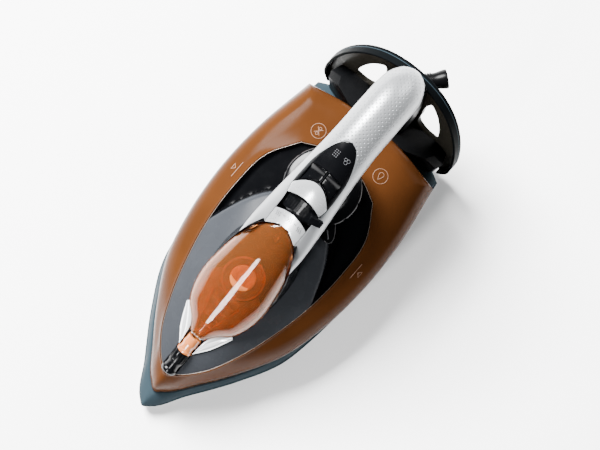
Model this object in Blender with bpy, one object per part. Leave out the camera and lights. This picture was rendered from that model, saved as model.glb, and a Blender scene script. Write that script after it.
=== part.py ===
"""A steam iron: a translucent water tank on a hot soleplate, under an arched handle.

The styled outlines are given in millimetres as (behind, side, height): the distance behind the
tip, the distance from the middle plane and the height. at() turns them into the part's own frame
in metres, +X towards the tip and +Z up.
"""

import math

import bmesh
import bpy
from mathutils import Matrix, Vector

MM = 0.001

# Overall sizes. The outlines below are drawn for an iron of the drawn sizes and stretch with these.
BODY_LENGTH = 276 * MM
BODY_WIDTH = 124.4 * MM
BODY_HEIGHT = 148 * MM
DRAWN_LENGTH = 276
DRAWN_WIDTH = 124.4
DRAWN_HEIGHT = 148

# Walls and clearances.
GAP = 0.3 * MM
TANK_WALL = 2.2 * MM
SHELL_WALL = 2.2 * MM
DECK_WALL = 2.4 * MM
SKIRT_WALL = 2.6 * MM
FLOOR_WALL = 2 * MM
SLIDE_CLEARANCE = 0.45 * MM

# Soleplate and heater.
SOLE_THICKNESS = 3.4 * MM
SOLE_INSET = 1.4 * MM
STEAM_HOLE_RADIUS = 1.6 * MM
STEAM_HOLES_EACH_SIDE = 7
CASTING_HEIGHT = 10.5 * MM
ELEMENT_RADIUS = 3.4 * MM
CHAMBER_DEPTH = 6 * MM
CHAMBER_COVER = 1.5 * MM
POST_RADIUS = 3.4 * MM
FUSE_RADIUS = 2.2 * MM
FUSE_LENGTH = 16 * MM
THERMOSTAT_HALF = (11 * MM, 7 * MM)
THERMOSTAT_HEIGHT = 4.2 * MM
SOCKET_FLOOR = 2 * MM

# Temperature dial, which turns about an upright axis behind the front pillar.
DIAL_BEHIND = 184.3
DIAL_RADIUS = 25.5 * MM
DIAL_HEIGHT = 8.5 * MM
DIAL_UNDERSIDE = 79 * BODY_HEIGHT / DRAWN_HEIGHT
DIAL_FLUTES = 12
DIAL_TAB_REACH = DIAL_RADIUS + 10.9 * MM
DIAL_TAB_WIDTH = 11 * MM
DIAL_TAB_ANGLE = math.radians(47)
DIAL_BASE_RADIUS = DIAL_RADIUS - 3 * MM
DIAL_BASE_FOOT = 50
SPINDLE_RADIUS = 3.1 * MM
SPINDLE_NECK = 0.4 * MM
SPINDLE_ENTRY = 3.6 * MM
SLEEVE_WALL = 1.6 * MM
SLEEVE_TOP = 58

# Spray nozzle and the barrel behind it, on one sloping axis.
NOZZLE_RADIUS = 5.6 * MM
NOZZLE_FRONT = 31
BARREL_FRONT = 48
BARREL_REAR = 59.8
BARREL_RADIUS = 5.4 * MM
NOZZLE_SLOPE = math.radians(22)
NOZZLE_AXIS_HEIGHT = 50.2

# Bright trims beside the nozzle.
TRIM_RISE = 2.2
TRIM_THICKNESS = 3.1 * MM
NOZZLE_BORE = 1.5 * MM
NOZZLE_NOSE = 3 * MM
BARREL_BORE = 3 * MM

# Filler lid, hinged at its front end, and the funnel under it.
LID_WALL = 2 * MM
LID_HINGE_BEHIND = 61.2
LID_HINGE_HEIGHT = 64.9
LID_PIN_RADIUS = 1.1 * MM
LID_PIN_LENGTH = 8 * MM
FUNNEL_BEHIND = 107.9
FUNNEL_RADIUS = 14.2 * MM
FUNNEL_NECK_RADIUS = 8 * MM
FUNNEL_HEIGHT = 8.5 * MM
FUNNEL_WALL = 1.6 * MM
FUNNEL_NECK_LENGTH = 14 * MM
SEAL_RADIUS = 8.2 * MM

# Steam lever, which swings about an axis along the handle.
LEVER_BEHIND = 160.3
LEVER_SLOPE = math.radians(31)
LEVER_RADIUS = 26 * MM
LEVER_WIDTH = 7 * MM
LEVER_PLATE = 1.9 * MM
LEVER_RECESS = 0.4 * MM
LEVER_START = math.radians(13)
LEVER_END = math.radians(25)
LEVER_NUB_END = math.radians(36)
LEVER_NUB_HEIGHT = 3.4 * MM
LEVER_NUB_ANGLE = math.radians(6)
TRACK_WALL = 2.2 * MM
TRACK_MARGIN = 2.4 * MM
TRACK_HALF_ANGLE = math.radians(32)

# Spray and steam buttons, side by side, with a pump under each.
BUTTON_HEIGHT = 6 * MM
BUTTON_TRAVEL = 3 * MM
BUTTON_BEHIND = 182.3
BUTTON_SIDE = 5.9
PUMP_RADIUS = 5.2 * MM
PUMP_HEIGHT = 7.4 * MM
PLUNGER_RADIUS = 2.6 * MM
PUMP_FLOOR = 2.6 * MM
PLUNGER_REST = 0.6 * MM
PLUNGER_OVERLAP = 4 * MM
VALVE_BEHIND = 140
VALVE_ROD_RADIUS = 1.8 * MM
VALVE_ROD_TOP = 104
VALVE_PORT_RADIUS = 1.2 * MM
VALVE_SEAT_RADIUS = 5 * MM
VALVE_SEAT_HEIGHT = 3.2 * MM

# Heel: a leaning plate with a rim, on which the iron stands up.
HEEL_LEAN = math.atan(0.219)
HEEL_FOOT_BEHIND = 253.5
HEEL_FOOT_HEIGHT = 10
HEEL_THICKNESS = 3.4 * MM
RIM_THICKNESS = 1.8 * MM
RIM_DEPTH = 7 * MM
SCREW_RADIUS = 3 * MM
SCREW_HEIGHT = 1.8 * MM
SCREW_SINK = 1.2 * MM
SCREW_SLOT = (2.2 * MM, 0.5 * MM)
SCREW_PLACES = {"heel_screw_left": (-30, 24), "heel_screw_right": (30, 24), "column_screw": (0, 64)}
COLUMN_HALF_WIDTH = 15
COLUMN_CORNER = 3
DUCT_RADIUS = 3.5 * MM

# Cord swivel: a turning dome with a slot, and a bush that tilts in the slot.
SWIVEL_BEHIND = 268.5
SWIVEL_HEIGHT = 90
BALL_RADIUS = 8.6 * MM
DOME_WALL = 2.2 * MM
DOME_COLLAR = 2 * MM
BUSH_LENGTH = 24.4 * MM
BUSH_WAIST = 5.2 * MM
BUSH_MOUTH = 6.2 * MM
BUSH_BORE = 3.6 * MM
BUSH_TURN = math.radians(39)
BUSH_SHOULDER = 0.6 * MM
SLOT_START = math.radians(50)
SLOT_MARGIN = math.radians(5.3)
BUSH_ROOM_RADIUS = 12.8 * MM
BUSH_ROOM_DEPTH = 12 * MM
BUSH_ROOM_FLARE = 4 * MM

LENGTH_SCALE = BODY_LENGTH / DRAWN_LENGTH
WIDTH_SCALE = BODY_WIDTH / DRAWN_WIDTH
HEIGHT_SCALE = BODY_HEIGHT / DRAWN_HEIGHT
BUSH_REACH = BUSH_LENGTH * math.cos(BUSH_TURN) + BUSH_MOUTH * math.sin(BUSH_TURN)
TIP_X = (SWIVEL_BEHIND * LENGTH_SCALE + BUSH_REACH) / 2

# How finely curves, vaults and cutters are drawn.
SPANS = 2
VAULT_STEPS = 10
VAULT_SPACING = 10
TOP_STATIONS = 8
FAR = 0.15
CUT_LOW = 0.6 * BODY_HEIGHT
CUT_HIGH = 1.2 * BODY_HEIGHT
INLAY_HALF = 14
DECK_CUT_DEPTH = 45 * MM

# Outlines: a side from the tip to the rear corner, then the rear edge to the middle.
SKIRT_SIDE = [(0, 0, 8.5), (2.4, 3.8, 8.5), (24, 18.8, 8.5), (55, 39.2, 8.5), (82, 52.9, 8.5),
              (108, 58, 8.5), (150, 60.6, 8.5), (194, 60, 8.5), (243, 53, 8.5)]
SKIRT_REAR = [(243, 53, 8.5), (246.6, 46, 8.5), (247.4, 0, 8.5)]
CASTING_SIDE = [(18, 0, 0), (23, 6, 0), (50, 25, 0), (84, 43, 0), (112, 49, 0), (150, 51.5, 0), (194, 50, 0),
                (231, 43, 0)]
CASTING_REAR = [(231, 43, 0), (234, 36, 0), (235.5, 0, 0)]
TANK_FOOT_SIDE = [(13.5, 0, 21), (17, 5.2, 21), (36, 20.4, 21), (60, 36.6, 21), (86, 49.1, 21),
                  (110, 54.8, 21), (150, 57.6, 21), (192, 57, 21), (234, 51, 21)]
TANK_FOOT_REAR = [(234, 51, 21), (238, 26, 21), (239.5, 0, 21)]
TANK_BELT_SIDE = [(15.5, 0, 30), (19, 5, 30), (38, 20.3, 31), (62, 37, 33), (88, 51, 35),
                  (112, 57.6, 36), (150, 62.2, 37), (190, 61, 38), (234, 53.9, 38)]
TANK_BELT_REAR = [(234, 53.9, 38), (238.4, 27, 38), (240, 0, 38)]
SHOULDER_SIDE = [(21, 0, 40), (24.5, 5, 40.5), (43, 18.5, 43.5), (66, 33, 47), (91, 45.5, 50.5),
                 (115, 52.5, 52.5), (150, 57.6, 54.5), (189, 56.4, 56.5), (231, 49.2, 59)]
SHOULDER_REAR = [(231, 49.2, 59), (235.8, 25, 61.5), (237.4, 0, 62.5)]
DECK_SIDE = [(29, 0, 48), (32, 5, 48.7), (46, 18.3, 50.5), (68, 29.2, 54), (94, 37.5, 57.5),
             (118, 42.8, 60), (150, 45.2, 62.3), (178, 42.6, 63.6), (199, 30.5, 64.6)]
DECK_REAR = [(199, 30.5, 64.6), (206.3, 14.5, 65), (208, 0, 65.2)]

# Lid: distance behind the tip, half width, height of the rim, height of the ridge.
LID = [(60.9, 5.4, 63, 67.4), (68, 11.4, 62.2, 72.5), (75, 18.4, 64.2, 77.5), (83, 22.2, 66.6, 82.5),
       (97, 24.9, 73, 92), (111, 23.9, 80, 100), (126, 21, 90, 107.5), (135, 17.4, 98.5, 111),
       (142, 12.6, 105.5, 113), (147, 4, 111.5, 114)]

# Handle: distance behind the tip, half width, height of the seam, of the crown and of the underside.
HANDLE = [(124, 20.4, 96, 104, 78), (139, 21.2, 101, 111.5, 80), (151, 20.7, 105.5, 118.6, 84),
          (160, 20, 109.3, 124.5, 96), (169, 19.2, 113.5, 129.8, 104.5), (180, 18, 119, 136, 111.5),
          (192, 16.8, 124.5, 141.4, 114.6), (206, 15.8, 128, 145.4, 116), (222, 15.3, 129.5, 147.7, 116.3),
          (238, 15.2, 129.5, 148, 115.6), (252, 14.9, 128, 145.6, 112.5), (261, 13.6, 126, 141.6, 108),
          (267, 10.6, 124.5, 137, 104), (271, 6.6, 123.6, 131.5, 102), (272.5, 3, 123.4, 127.5, 101)]

# Opening in the top of the handle: its half width along the handle.
OPENING = [(140, 12), (150, 12.3), (162, 12.3), (172, 14), (181, 13.7), (190, 12.9), (198, 10.7),
           (205, 7.6), (209.4, 4), (211, 0)]
SADDLE_FRONT = (167.6, 2, 11)
SADDLE_REAR = (179.3, 6.7, 12.6)
WINDOW_FRONT = (156.6, 2.2, 11)
RIDGE_BEHIND = 188.5

PILLAR_FOOT_SIDE = [(81, 0, 58), (86, 14, 58), (100, 25.5, 58), (116, 28.8, 58), (134, 27.5, 58),
                    (148, 20, 58)]
PILLAR_FOOT_REAR = [(148, 20, 58), (156, 9, 58), (157, 0, 58)]
PILLAR_HEAD_SIDE = [(85, 0, 112), (89, 12, 112), (101, 21, 112), (116, 20.8, 112), (134, 18, 112),
                    (145, 13, 112)]
PILLAR_HEAD_REAR = [(145, 13, 112), (150, 7, 112), (151, 0, 112)]

# Heel plate, seen from behind: distance from the middle and height.
HEEL_ARCH = [(49, 11.5), (53.4, 20), (54.3, 30), (52.5, 48), (48.5, 65), (42, 82), (33, 97),
             (21, 108.5), (10, 113.5), (0, 115)]
HEEL_HOLE = [(34.6, 47), (33.4, 60), (30, 73), (24.6, 84.5), (19.2, 90.5), (17, 84), (17, 66),
             (18.4, 52), (26, 47)]

COLORS = {
    "copper": ((0.32, 0.12, 0.04, 1), 0.15, 0.0),
    "slate": ((0.06, 0.07, 0.08, 1), 0.25, 0.0),
    "blue_grey": ((0.16, 0.21, 0.25, 1), 0.4, 0.0),
    "silver": ((0.62, 0.63, 0.65, 1), 0.3, 0.6),
    "chrome": ((0.85, 0.85, 0.87, 1), 0.08, 1.0),
    "black": ((0.015, 0.015, 0.017, 1), 0.35, 0.0),
    "aluminium": ((0.55, 0.56, 0.57, 1), 0.45, 1.0),
    "steel": ((0.6, 0.6, 0.62, 1), 0.25, 1.0),
    "brass": ((0.7, 0.52, 0.25, 1), 0.3, 1.0),
    "ceramic": ((0.8, 0.78, 0.74, 1), 0.5, 0.0),
    "rubber": ((0.05, 0.05, 0.05, 1), 0.8, 0.0),
    "white": ((0.8, 0.8, 0.78, 1), 0.5, 0.0),
}


# Scene, materials and mesh helpers.

def clear_scene():
    for obj in list(bpy.data.objects):
        bpy.data.objects.remove(obj, do_unlink=True)


def new_collection(name):
    made = bpy.data.collections.new(name)
    bpy.context.scene.collection.children.link(made)
    return made


clear_scene()
PARTS = new_collection("steam_iron")
CUTTERS = new_collection("cutters")


def material(name):
    found = bpy.data.materials.get(name)
    if found:
        return found
    color, roughness, metallic = COLORS[name]
    made = bpy.data.materials.new(name)
    made.use_nodes = True
    shader = made.node_tree.nodes["Principled BSDF"]
    shader.inputs["Base Color"].default_value = color
    shader.inputs["Roughness"].default_value = roughness
    shader.inputs["Metallic"].default_value = metallic
    return made


def finish(name, bm, color, origin=None):
    """Makes the object of a bmesh. No colour makes a cutter; an origin moves the object's origin there."""
    bmesh.ops.recalc_face_normals(bm, faces=bm.faces)
    if origin is not None:
        bmesh.ops.translate(bm, verts=bm.verts, vec=-origin)
    mesh = bpy.data.meshes.new(name)
    bm.to_mesh(mesh)
    bm.free()
    obj = bpy.data.objects.new(name, mesh)
    if origin is not None:
        obj.location = origin
    if color:
        PARTS.objects.link(obj)
        mesh.materials.append(material(color))
        mesh.shade_smooth()
        mesh.set_sharp_from_angle(angle=math.radians(35))
    else:
        CUTTERS.objects.link(obj)
        obj.hide_render = True
        obj.display_type = "WIRE"
    return obj


def combine(obj, operation, *others):
    for other in others:
        modifier = obj.modifiers.new(other.name, "BOOLEAN")
        modifier.operation = operation
        modifier.object = other
    return obj


def cut(obj, *cutters):
    return combine(obj, "DIFFERENCE", *cutters)


def keep(obj, *cutters):
    return combine(obj, "INTERSECT", *cutters)


# Curves and outlines.

def at(behind, side, height):
    return Vector((TIP_X - behind * LENGTH_SCALE, side * WIDTH_SCALE, height * HEIGHT_SCALE))


def spline(points, spans, mirror_ends=False):
    """Points on a smooth curve through the given ones; mirror_ends crosses the middle plane squarely."""
    points = [Vector(point) for point in points]
    flip = Vector([-1 if axis == 1 else 1 for axis in range(len(points[0]))])
    before = points[1] * flip if mirror_ends and points[0][1] == 0 else None
    after = points[-2] * flip if mirror_ends and points[-1][1] == 0 else None
    steps = [(b - a).length for a, b in zip(points, points[1:])]
    rates = [(b - a) / step for a, b, step in zip(points, points[1:], steps)]
    tangents = []
    for index in range(len(points)):
        if 0 < index < len(points) - 1:
            near, far = steps[index - 1], steps[index]
            tangents.append((rates[index - 1] * far + rates[index] * near) / (near + far))
        elif index == 0:
            tangents.append((points[1] - before) / (2 * steps[0]) if before else rates[0])
        else:
            tangents.append((after - points[-2]) / (2 * steps[-1]) if after else rates[-1])
    curve = []
    for index, step in enumerate(steps):
        for count in range(spans):
            t = count / spans
            a, b = points[index], points[index + 1]
            start, end = tangents[index] * step, tangents[index + 1] * step
            curve.append(a * (2 * t**3 - 3 * t**2 + 1) + start * (t**3 - 2 * t**2 + t)
                         + b * (3 * t**2 - 2 * t**3) + end * (t**3 - t**2))
    return curve + [points[-1]]


def value(table, behind, column=1):
    """Reads a column of a table of rows at one distance behind the tip, along a smooth curve."""
    if behind <= table[0][0]:
        return table[0][column]
    if behind >= table[-1][0]:
        return table[-1][column]
    index = max(i for i, row in enumerate(table[:-1]) if row[0] <= behind)
    slopes = [(b[column] - a[column]) / (b[0] - a[0]) for a, b in zip(table, table[1:])]

    def tangent(i):
        if i == 0 or i == len(table) - 1:
            return slopes[min(i, len(slopes) - 1)]
        near, far = table[i][0] - table[i - 1][0], table[i + 1][0] - table[i][0]
        return (slopes[i - 1] * far + slopes[i] * near) / (near + far)

    a, b = table[index], table[index + 1]
    step = b[0] - a[0]
    t = (behind - a[0]) / step
    return (a[column] * (2 * t**3 - 3 * t**2 + 1) + tangent(index) * step * (t**3 - 2 * t**2 + t)
            + b[column] * (3 * t**2 - 2 * t**3) + tangent(index + 1) * step * (t**3 - t**2))


def smooth_step(share):
    t = min(max(share, 0.0), 1.0)
    return t * t * (3 - 2 * t)


def half_outline(side, rear):
    return spline(side, SPANS, True)[:-1] + spline(rear, SPANS, True)


def ring(side, rear):
    """The whole outline in the part's frame, from the front middle round the +Y side."""
    half = half_outline(side, rear)
    other = [Vector((u, -y, z)) for u, y, z in reversed(half[1:-1])]
    return [at(*point) for point in half + other]


def inset(points, distance, drop=0.0):
    """Moves an outline inwards in plan by a distance, and down by a drop."""
    moved = []
    count = len(points)
    for index, point in enumerate(points):
        into = (point - points[index - 1]).to_2d()
        out = (points[(index + 1) % count] - point).to_2d()
        normals = [Vector((-edge.y, edge.x)).normalized() for edge in (into, out)]
        mean = (normals[0] + normals[1]).normalized()
        reach = distance / max(mean.dot(normals[0]), 0.5)
        moved.append(Vector((point.x + mean.x * reach, point.y + mean.y * reach, point.z - drop)))
    return moved


def level(points, height):
    return [Vector((point.x, point.y, height)) for point in points]


# Solids.

def loft(name, rings, color, closed=False, origin=None):
    """A solid through rings of equally many points, capped, or joined from the last back to the first."""
    bm = bmesh.new()
    rows = [[bm.verts.new(point) for point in points] for points in rings]
    pairs = list(zip(rows, rows[1:]))
    if closed:
        pairs.append((rows[-1], rows[0]))
    else:
        bm.faces.new(rows[0])
        bm.faces.new(rows[-1])
    for low, high in pairs:
        for index in range(len(low)):
            bm.faces.new((low[index - 1], low[index], high[index], high[index - 1]))
    return finish(name, bm, color, origin)


def slab(name, half, height_at, thickness, color, columns=8):
    """A shell over a half outline of (behind, half width), following a height, of one thickness."""
    bm = bmesh.new()
    front = bm.verts.new(at(half[0][0], 0, height_at(half[0][0], 0)))
    rear = bm.verts.new(at(half[-1][0], 0, height_at(half[-1][0], 0)))
    rows = []
    for behind, reach in [point[:2] for point in half[1:-1]]:
        sides = [reach * (2 * column / columns - 1) for column in range(columns + 1)]
        rows.append([bm.verts.new(at(behind, side, height_at(behind, side))) for side in sides])
    for index in range(columns):
        bm.faces.new((front, rows[0][index], rows[0][index + 1]))
        bm.faces.new((rear, rows[-1][index + 1], rows[-1][index]))
    for near, far in zip(rows, rows[1:]):
        for index in range(columns):
            bm.faces.new((near[index], far[index], far[index + 1], near[index + 1]))
    bmesh.ops.triangulate(bm, faces=bm.faces, quad_method="FIXED")
    made = bmesh.ops.extrude_face_region(bm, geom=bm.faces[:])
    fresh = [item for item in made["geom"] if isinstance(item, bmesh.types.BMVert)]
    bmesh.ops.translate(bm, verts=fresh, vec=(0, 0, -thickness))
    return finish(name, bm, color)


def prism(name, points, low, high, color=None, frame=None):
    """An outline of (x, y) points extruded between two heights, in a frame if one is given."""
    bm = bmesh.new()
    face = bm.faces.new([bm.verts.new((x, y, low)) for x, y in points])
    made = bmesh.ops.extrude_face_region(bm, geom=[face])
    fresh = [item for item in made["geom"] if isinstance(item, bmesh.types.BMVert)]
    bmesh.ops.translate(bm, verts=fresh, vec=(0, 0, high - low))
    if frame:
        bmesh.ops.transform(bm, matrix=frame, verts=bm.verts)
    return finish(name, bm, color)


def cylinder(name, center, radius, length, color=None, axis=Vector((0, 0, 1)), sides=32, origin=None,
             end_radius=None):
    """A cylinder or cone that starts at a point and runs along an axis."""
    bm = bmesh.new()
    far_radius = radius if end_radius is None else end_radius
    bmesh.ops.create_cone(bm, cap_ends=True, segments=sides, radius1=radius, radius2=far_radius, depth=length)
    turn = Vector((0, 0, 1)).rotation_difference(axis).to_matrix().to_4x4()
    place = Matrix.Translation(center + axis.normalized() * length / 2)
    bmesh.ops.transform(bm, matrix=place @ turn, verts=bm.verts)
    return finish(name, bm, color, origin)


def turned(name, center, profile, color=None, axis=Vector((0, 0, 1)), sides=32, origin=None):
    """A closed profile of (radius, height) points spun about an axis."""
    bm = bmesh.new()
    corners = [bm.verts.new((radius, 0, height)) for radius, height in profile]
    edges = [bm.edges.new((corners[index - 1], corners[index])) for index in range(len(corners))]
    bmesh.ops.spin(bm, geom=edges + corners, cent=(0, 0, 0), axis=(0, 0, 1), angle=math.tau, steps=sides)
    bmesh.ops.remove_doubles(bm, verts=bm.verts, dist=1e-6)
    turn = Vector((0, 0, 1)).rotation_difference(axis).to_matrix().to_4x4()
    bmesh.ops.transform(bm, matrix=Matrix.Translation(center) @ turn, verts=bm.verts)
    return finish(name, bm, color, origin)


def box(name, low, high, color=None):
    bm = bmesh.new()
    bmesh.ops.create_cube(bm, size=1)
    bmesh.ops.scale(bm, vec=high - low, verts=bm.verts)
    bmesh.ops.translate(bm, vec=(low + high) / 2, verts=bm.verts)
    return finish(name, bm, color)


# The body's main surfaces.

def deck_edge(behind, column):
    return value(DECK_SIDE + DECK_REAR[1:], behind, column)


def deck_height(behind, side):
    """The deck rises to a crown, and behind the pillar it falls into a dish round the dial."""
    edge = deck_edge(behind, 2)
    half_width = max(deck_edge(behind, 1), 0.5)
    across = min(abs(side) / half_width, 1)
    front, rear = DECK_SIDE[0][0], DECK_REAR[-1][0]
    crown = 18 * math.sin(math.pi * min(max((behind - front) / (rear - front), 0), 1))
    dish_front = 168 - 30 * (abs(side) / 37) ** 3
    dish = smooth_step((behind - dish_front) / 7)
    lip = smooth_step((half_width - abs(side)) / 4)
    return edge + crown * (1 - across**2) * (1 - dish) - 3 * dish * lip


def deck_half(offset):
    """The deck's half outline, moved inwards by an offset, as (behind, side) in drawn millimetres."""
    points = inset(ring(DECK_SIDE, DECK_REAR), offset)
    half = points[: len(points) // 2 + 1]
    return [((TIP_X - point.x) / LENGTH_SCALE, point.y / WIDTH_SCALE) for point in half]


def vault_section(half, seam, crown, low):
    """A half ellipse from side to side, closed below by straight sides where the low level isn't the seam."""
    angles = [math.pi * step / VAULT_STEPS for step in range(VAULT_STEPS + 1)]
    section = [(-half * math.cos(angle), seam + (crown - seam) * math.sin(angle)) for angle in angles]
    if low != seam:
        section = [(-half, low)] + section + [(half, low)]
    return section


def dome(name, table, color, edge_drop=0.0, offset=0.0, behind=None, underside=False):
    """A solid under a vault of sections between a seam and a crown, grown by an offset."""
    start, end = behind or (table[0][0], table[-1][0])
    start -= offset / LENGTH_SCALE
    end += offset / LENGTH_SCALE
    pairs = zip(table, table[1:])
    middles = [(near[0] + far[0]) / 2 for near, far in pairs if far[0] - near[0] > VAULT_SPACING]
    places = sorted([row[0] for row in table] + middles)
    rings = []
    for here in [start] + [place for place in places if start < place < end] + [end]:
        half = value(table, here, 1) * WIDTH_SCALE + offset
        seam = value(table, here, 2) * HEIGHT_SCALE
        crown = value(table, here, 3) * HEIGHT_SCALE + (-offset if underside else offset)
        x = TIP_X - here * LENGTH_SCALE
        section = vault_section(half, seam, crown, seam - edge_drop)
        rings.append([Vector((x, side, height)) for side, height in section])
    return loft(name, rings, color)


def handle_top(behind, side):
    half = value(HANDLE, behind, 1)
    seam, crown = value(HANDLE, behind, 2), value(HANDLE, behind, 3)
    return seam + (crown - seam) * math.sqrt(max(1 - (side / half) ** 2, 0))


def heel_behind(height):
    """How far behind the tip the heel's flat is at a height, in drawn millimetres."""
    return HEEL_FOOT_BEHIND + (height - HEEL_FOOT_HEIGHT) * math.tan(HEEL_LEAN)


def heel_frame(back_off):
    """Axes of the heel's flat: x sideways, y up the flat, z out to the rear, set forward by a distance."""
    foot = at(HEEL_FOOT_BEHIND, 0, HEEL_FOOT_HEIGHT)
    head = DRAWN_HEIGHT - HEEL_FOOT_HEIGHT
    up = (at(heel_behind(head), 0, head) - foot).normalized()
    side = Vector((0, -1, 0))
    out = side.cross(up)
    turn = Matrix((side, up, out)).transposed().to_4x4()
    return Matrix.Translation(foot - out * back_off) @ turn


def on_heel(side, height):
    """A point of the heel's flat in its own axes."""
    rise = heel_frame(0).col[1].z
    return (-side * WIDTH_SCALE, (height - HEEL_FOOT_HEIGHT) * HEIGHT_SCALE / rise)


# Soleplate and heater.

def make_soleplate():
    outline = level(inset(ring(SKIRT_SIDE, SKIRT_REAR), SOLE_INSET), 0)
    plate = prism("soleplate", [point.to_2d() for point in outline], 0, SOLE_THICKNESS, "steel")
    for row in range(STEAM_HOLES_EACH_SIDE):
        behind = 30 + 18 * row
        side = value([point[:2] for point in SKIRT_SIDE], behind) - 9
        for sign in (-1, 1):
            center = at(behind, sign * side, -2)
            cut(plate, cylinder(f"steam_hole_{row}_{sign}", center, STEAM_HOLE_RADIUS, 12 * MM, sides=10))


def casting_top():
    return SOLE_THICKNESS + GAP + CASTING_HEIGHT


def element_path():
    """A U round the nose of the casting, with both ends turned up at the rear."""
    height = casting_top() / HEIGHT_SCALE
    half = [(232, 25), (200, 29), (160, 30), (115, 27), (75, 17), (58, 7)]
    side = spline([(behind, -y, height) for behind, y in half] + [(54, 0, height)]
                  + [(behind, y, height) for behind, y in reversed(half)], 2)
    return [at(*point) for point in side]


def tube(name, points, radius, color, sides=8):
    """A round bar along points, welded from a curve so that it can be cut."""
    curve = bpy.data.curves.new(name, "CURVE")
    curve.dimensions = "3D"
    curve.bevel_depth = radius
    curve.bevel_resolution = sides // 2 - 2
    curve.use_fill_caps = True
    path = curve.splines.new("POLY")
    path.points.add(len(points) - 1)
    for spot, point in zip(path.points, points):
        spot.co = (*point, 1)
    guide = bpy.data.objects.new(name + "_path", curve)
    CUTTERS.objects.link(guide)
    bpy.context.view_layer.update()
    graph = bpy.context.evaluated_depsgraph_get()
    mesh = bpy.data.meshes.new_from_object(guide.evaluated_get(graph))
    bm = bmesh.new()
    bm.from_mesh(mesh)
    bmesh.ops.remove_doubles(bm, verts=bm.verts, dist=1e-6)
    bpy.data.objects.remove(guide, do_unlink=True)
    bpy.data.meshes.remove(mesh)
    return finish(name, bm, color)


def make_heater():
    low, high = SOLE_THICKNESS + GAP, casting_top()
    outline = [point.to_2d() for point in ring(CASTING_SIDE, CASTING_REAR)]
    casting = prism("heater_casting", outline, low, high, "aluminium")
    path = element_path()
    tube("heating_element", path, ELEMENT_RADIUS, "steel")
    longer = [path[0] + (path[0] - path[1]).normalized() * MM] + path
    longer.append(path[-1] + (path[-1] - path[-2]).normalized() * MM)
    cut(casting, tube("element_groove", longer, ELEMENT_RADIUS + GAP, None))
    pocket = [(82, 0), (96, 13), (130, 19), (158, 19), (168, 12), (170, 0)]
    cut(casting, prism("steam_pocket", mirrored(pocket), high - CHAMBER_DEPTH, high + MM))
    cover_outline = [(80, 0)] + [(u, y * 1.1) for u, y in pocket[1:-1]] + [(172, 0)]
    bottom = high + GAP
    cover = prism("steam_chamber_cover", mirrored(cover_outline), bottom, bottom + CHAMBER_COVER, "steel")
    cut(cover, cylinder("valve_port", upright(VALVE_BEHIND, 0, high), VALVE_PORT_RADIUS, 6 * MM, sides=12))


def mirrored(half):
    """Plan points of an outline from its half as (behind, side), which starts and ends in the middle."""
    return [at(u, y, 0).to_2d() for u, y in half + [(u, -y) for u, y in half[-2:0:-1]]]


def upright(behind, side, height):
    """A point from its drawn place in plan and a true height."""
    spot = at(behind, side, 0)
    spot.z = height
    return spot


def valve_foot():
    return casting_top() + GAP + CHAMBER_COVER + GAP


def make_valve():
    foot = upright(VALVE_BEHIND, 0, valve_foot())
    port, bore = VALVE_PORT_RADIUS, VALVE_ROD_RADIUS + GAP
    outer, top = VALVE_SEAT_RADIUS, VALVE_SEAT_HEIGHT
    seat = [(port, 0), (outer, 0), (outer - MM, top), (bore, top), (bore, port), (port, port)]
    turned("drip_valve_seat", foot, seat, "brass", sides=16)
    start = foot + Vector((0, 0, port + GAP))
    length = VALVE_ROD_TOP * HEIGHT_SCALE - start.z
    cylinder("drip_valve_rod", start, VALVE_ROD_RADIUS, length, "steel", sides=12, origin=start)


def dial_center(height):
    return upright(DIAL_BEHIND, 0, height)


def make_thermostat():
    low = casting_top() + GAP
    center = dial_center(low)
    corner = Vector((*THERMOSTAT_HALF, 0))
    top = Vector((0, 0, THERMOSTAT_HEIGHT))
    body = box("thermostat", center - corner, center + corner + top, "ceramic")
    socket = center + Vector((0, 0, SOCKET_FLOOR))
    cut(body, cylinder("thermostat_socket", socket, SPINDLE_RADIUS + GAP, 8 * MM, sides=16))
    fuse = upright(212, 8, low + FUSE_RADIUS)
    cylinder("thermal_fuse", fuse, FUSE_RADIUS, FUSE_LENGTH, "ceramic", axis=Vector((-1, 0, 0)), sides=12)


def make_posts():
    """Insulating posts that hold the tank's floor off the casting."""
    low = casting_top() + GAP
    high = tank_floor_low() - GAP
    places = {"post_front": (36, 0), "post_left": (222, -34), "post_right": (222, 34)}
    for name, (behind, side) in places.items():
        cylinder(name, upright(behind, side, low), POST_RADIUS, high - low, "ceramic", sides=12)


# Skirt, tank and deck.

def skirt_outside(offset=0.0):
    """The skirt's outer outlines from its foot up, with a groove round it, grown by an offset."""
    rim = ring(SKIRT_SIDE, SKIRT_REAR)
    seat = ring(TANK_FOOT_SIDE, TANK_FOOT_REAR)
    return [
        level(inset(rim, 1 * MM - offset), SOLE_THICKNESS + GAP - offset),
        level(inset(rim, -offset), 8.5 * HEIGHT_SCALE),
        level(inset(rim, 1.8 * MM - offset), 9.4 * HEIGHT_SCALE),
        level(inset(rim, 1.8 * MM - offset), 11.2 * HEIGHT_SCALE),
        level(inset(rim, 0.5 * MM - offset), 12.2 * HEIGHT_SCALE),
        level(inset(seat, -1.1 * MM - offset), 20.5 * HEIGHT_SCALE + offset),
    ]


def make_skirt():
    rim = ring(SKIRT_SIDE, SKIRT_REAR)
    seat = ring(TANK_FOOT_SIDE, TANK_FOOT_REAR)
    lip = 20.5 * HEIGHT_SCALE
    low = SOLE_THICKNESS + GAP
    rings = skirt_outside() + [
        level(inset(seat, 5 * MM), lip),
        level(inset(seat, 5 * MM), lip - 2 * MM),
        level(inset(rim, 1.8 * MM + SKIRT_WALL), 11.2 * HEIGHT_SCALE),
        level(inset(rim, 1.8 * MM + SKIRT_WALL), low),
    ]
    loft("skirt", rings, "blue_grey", closed=True)


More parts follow.
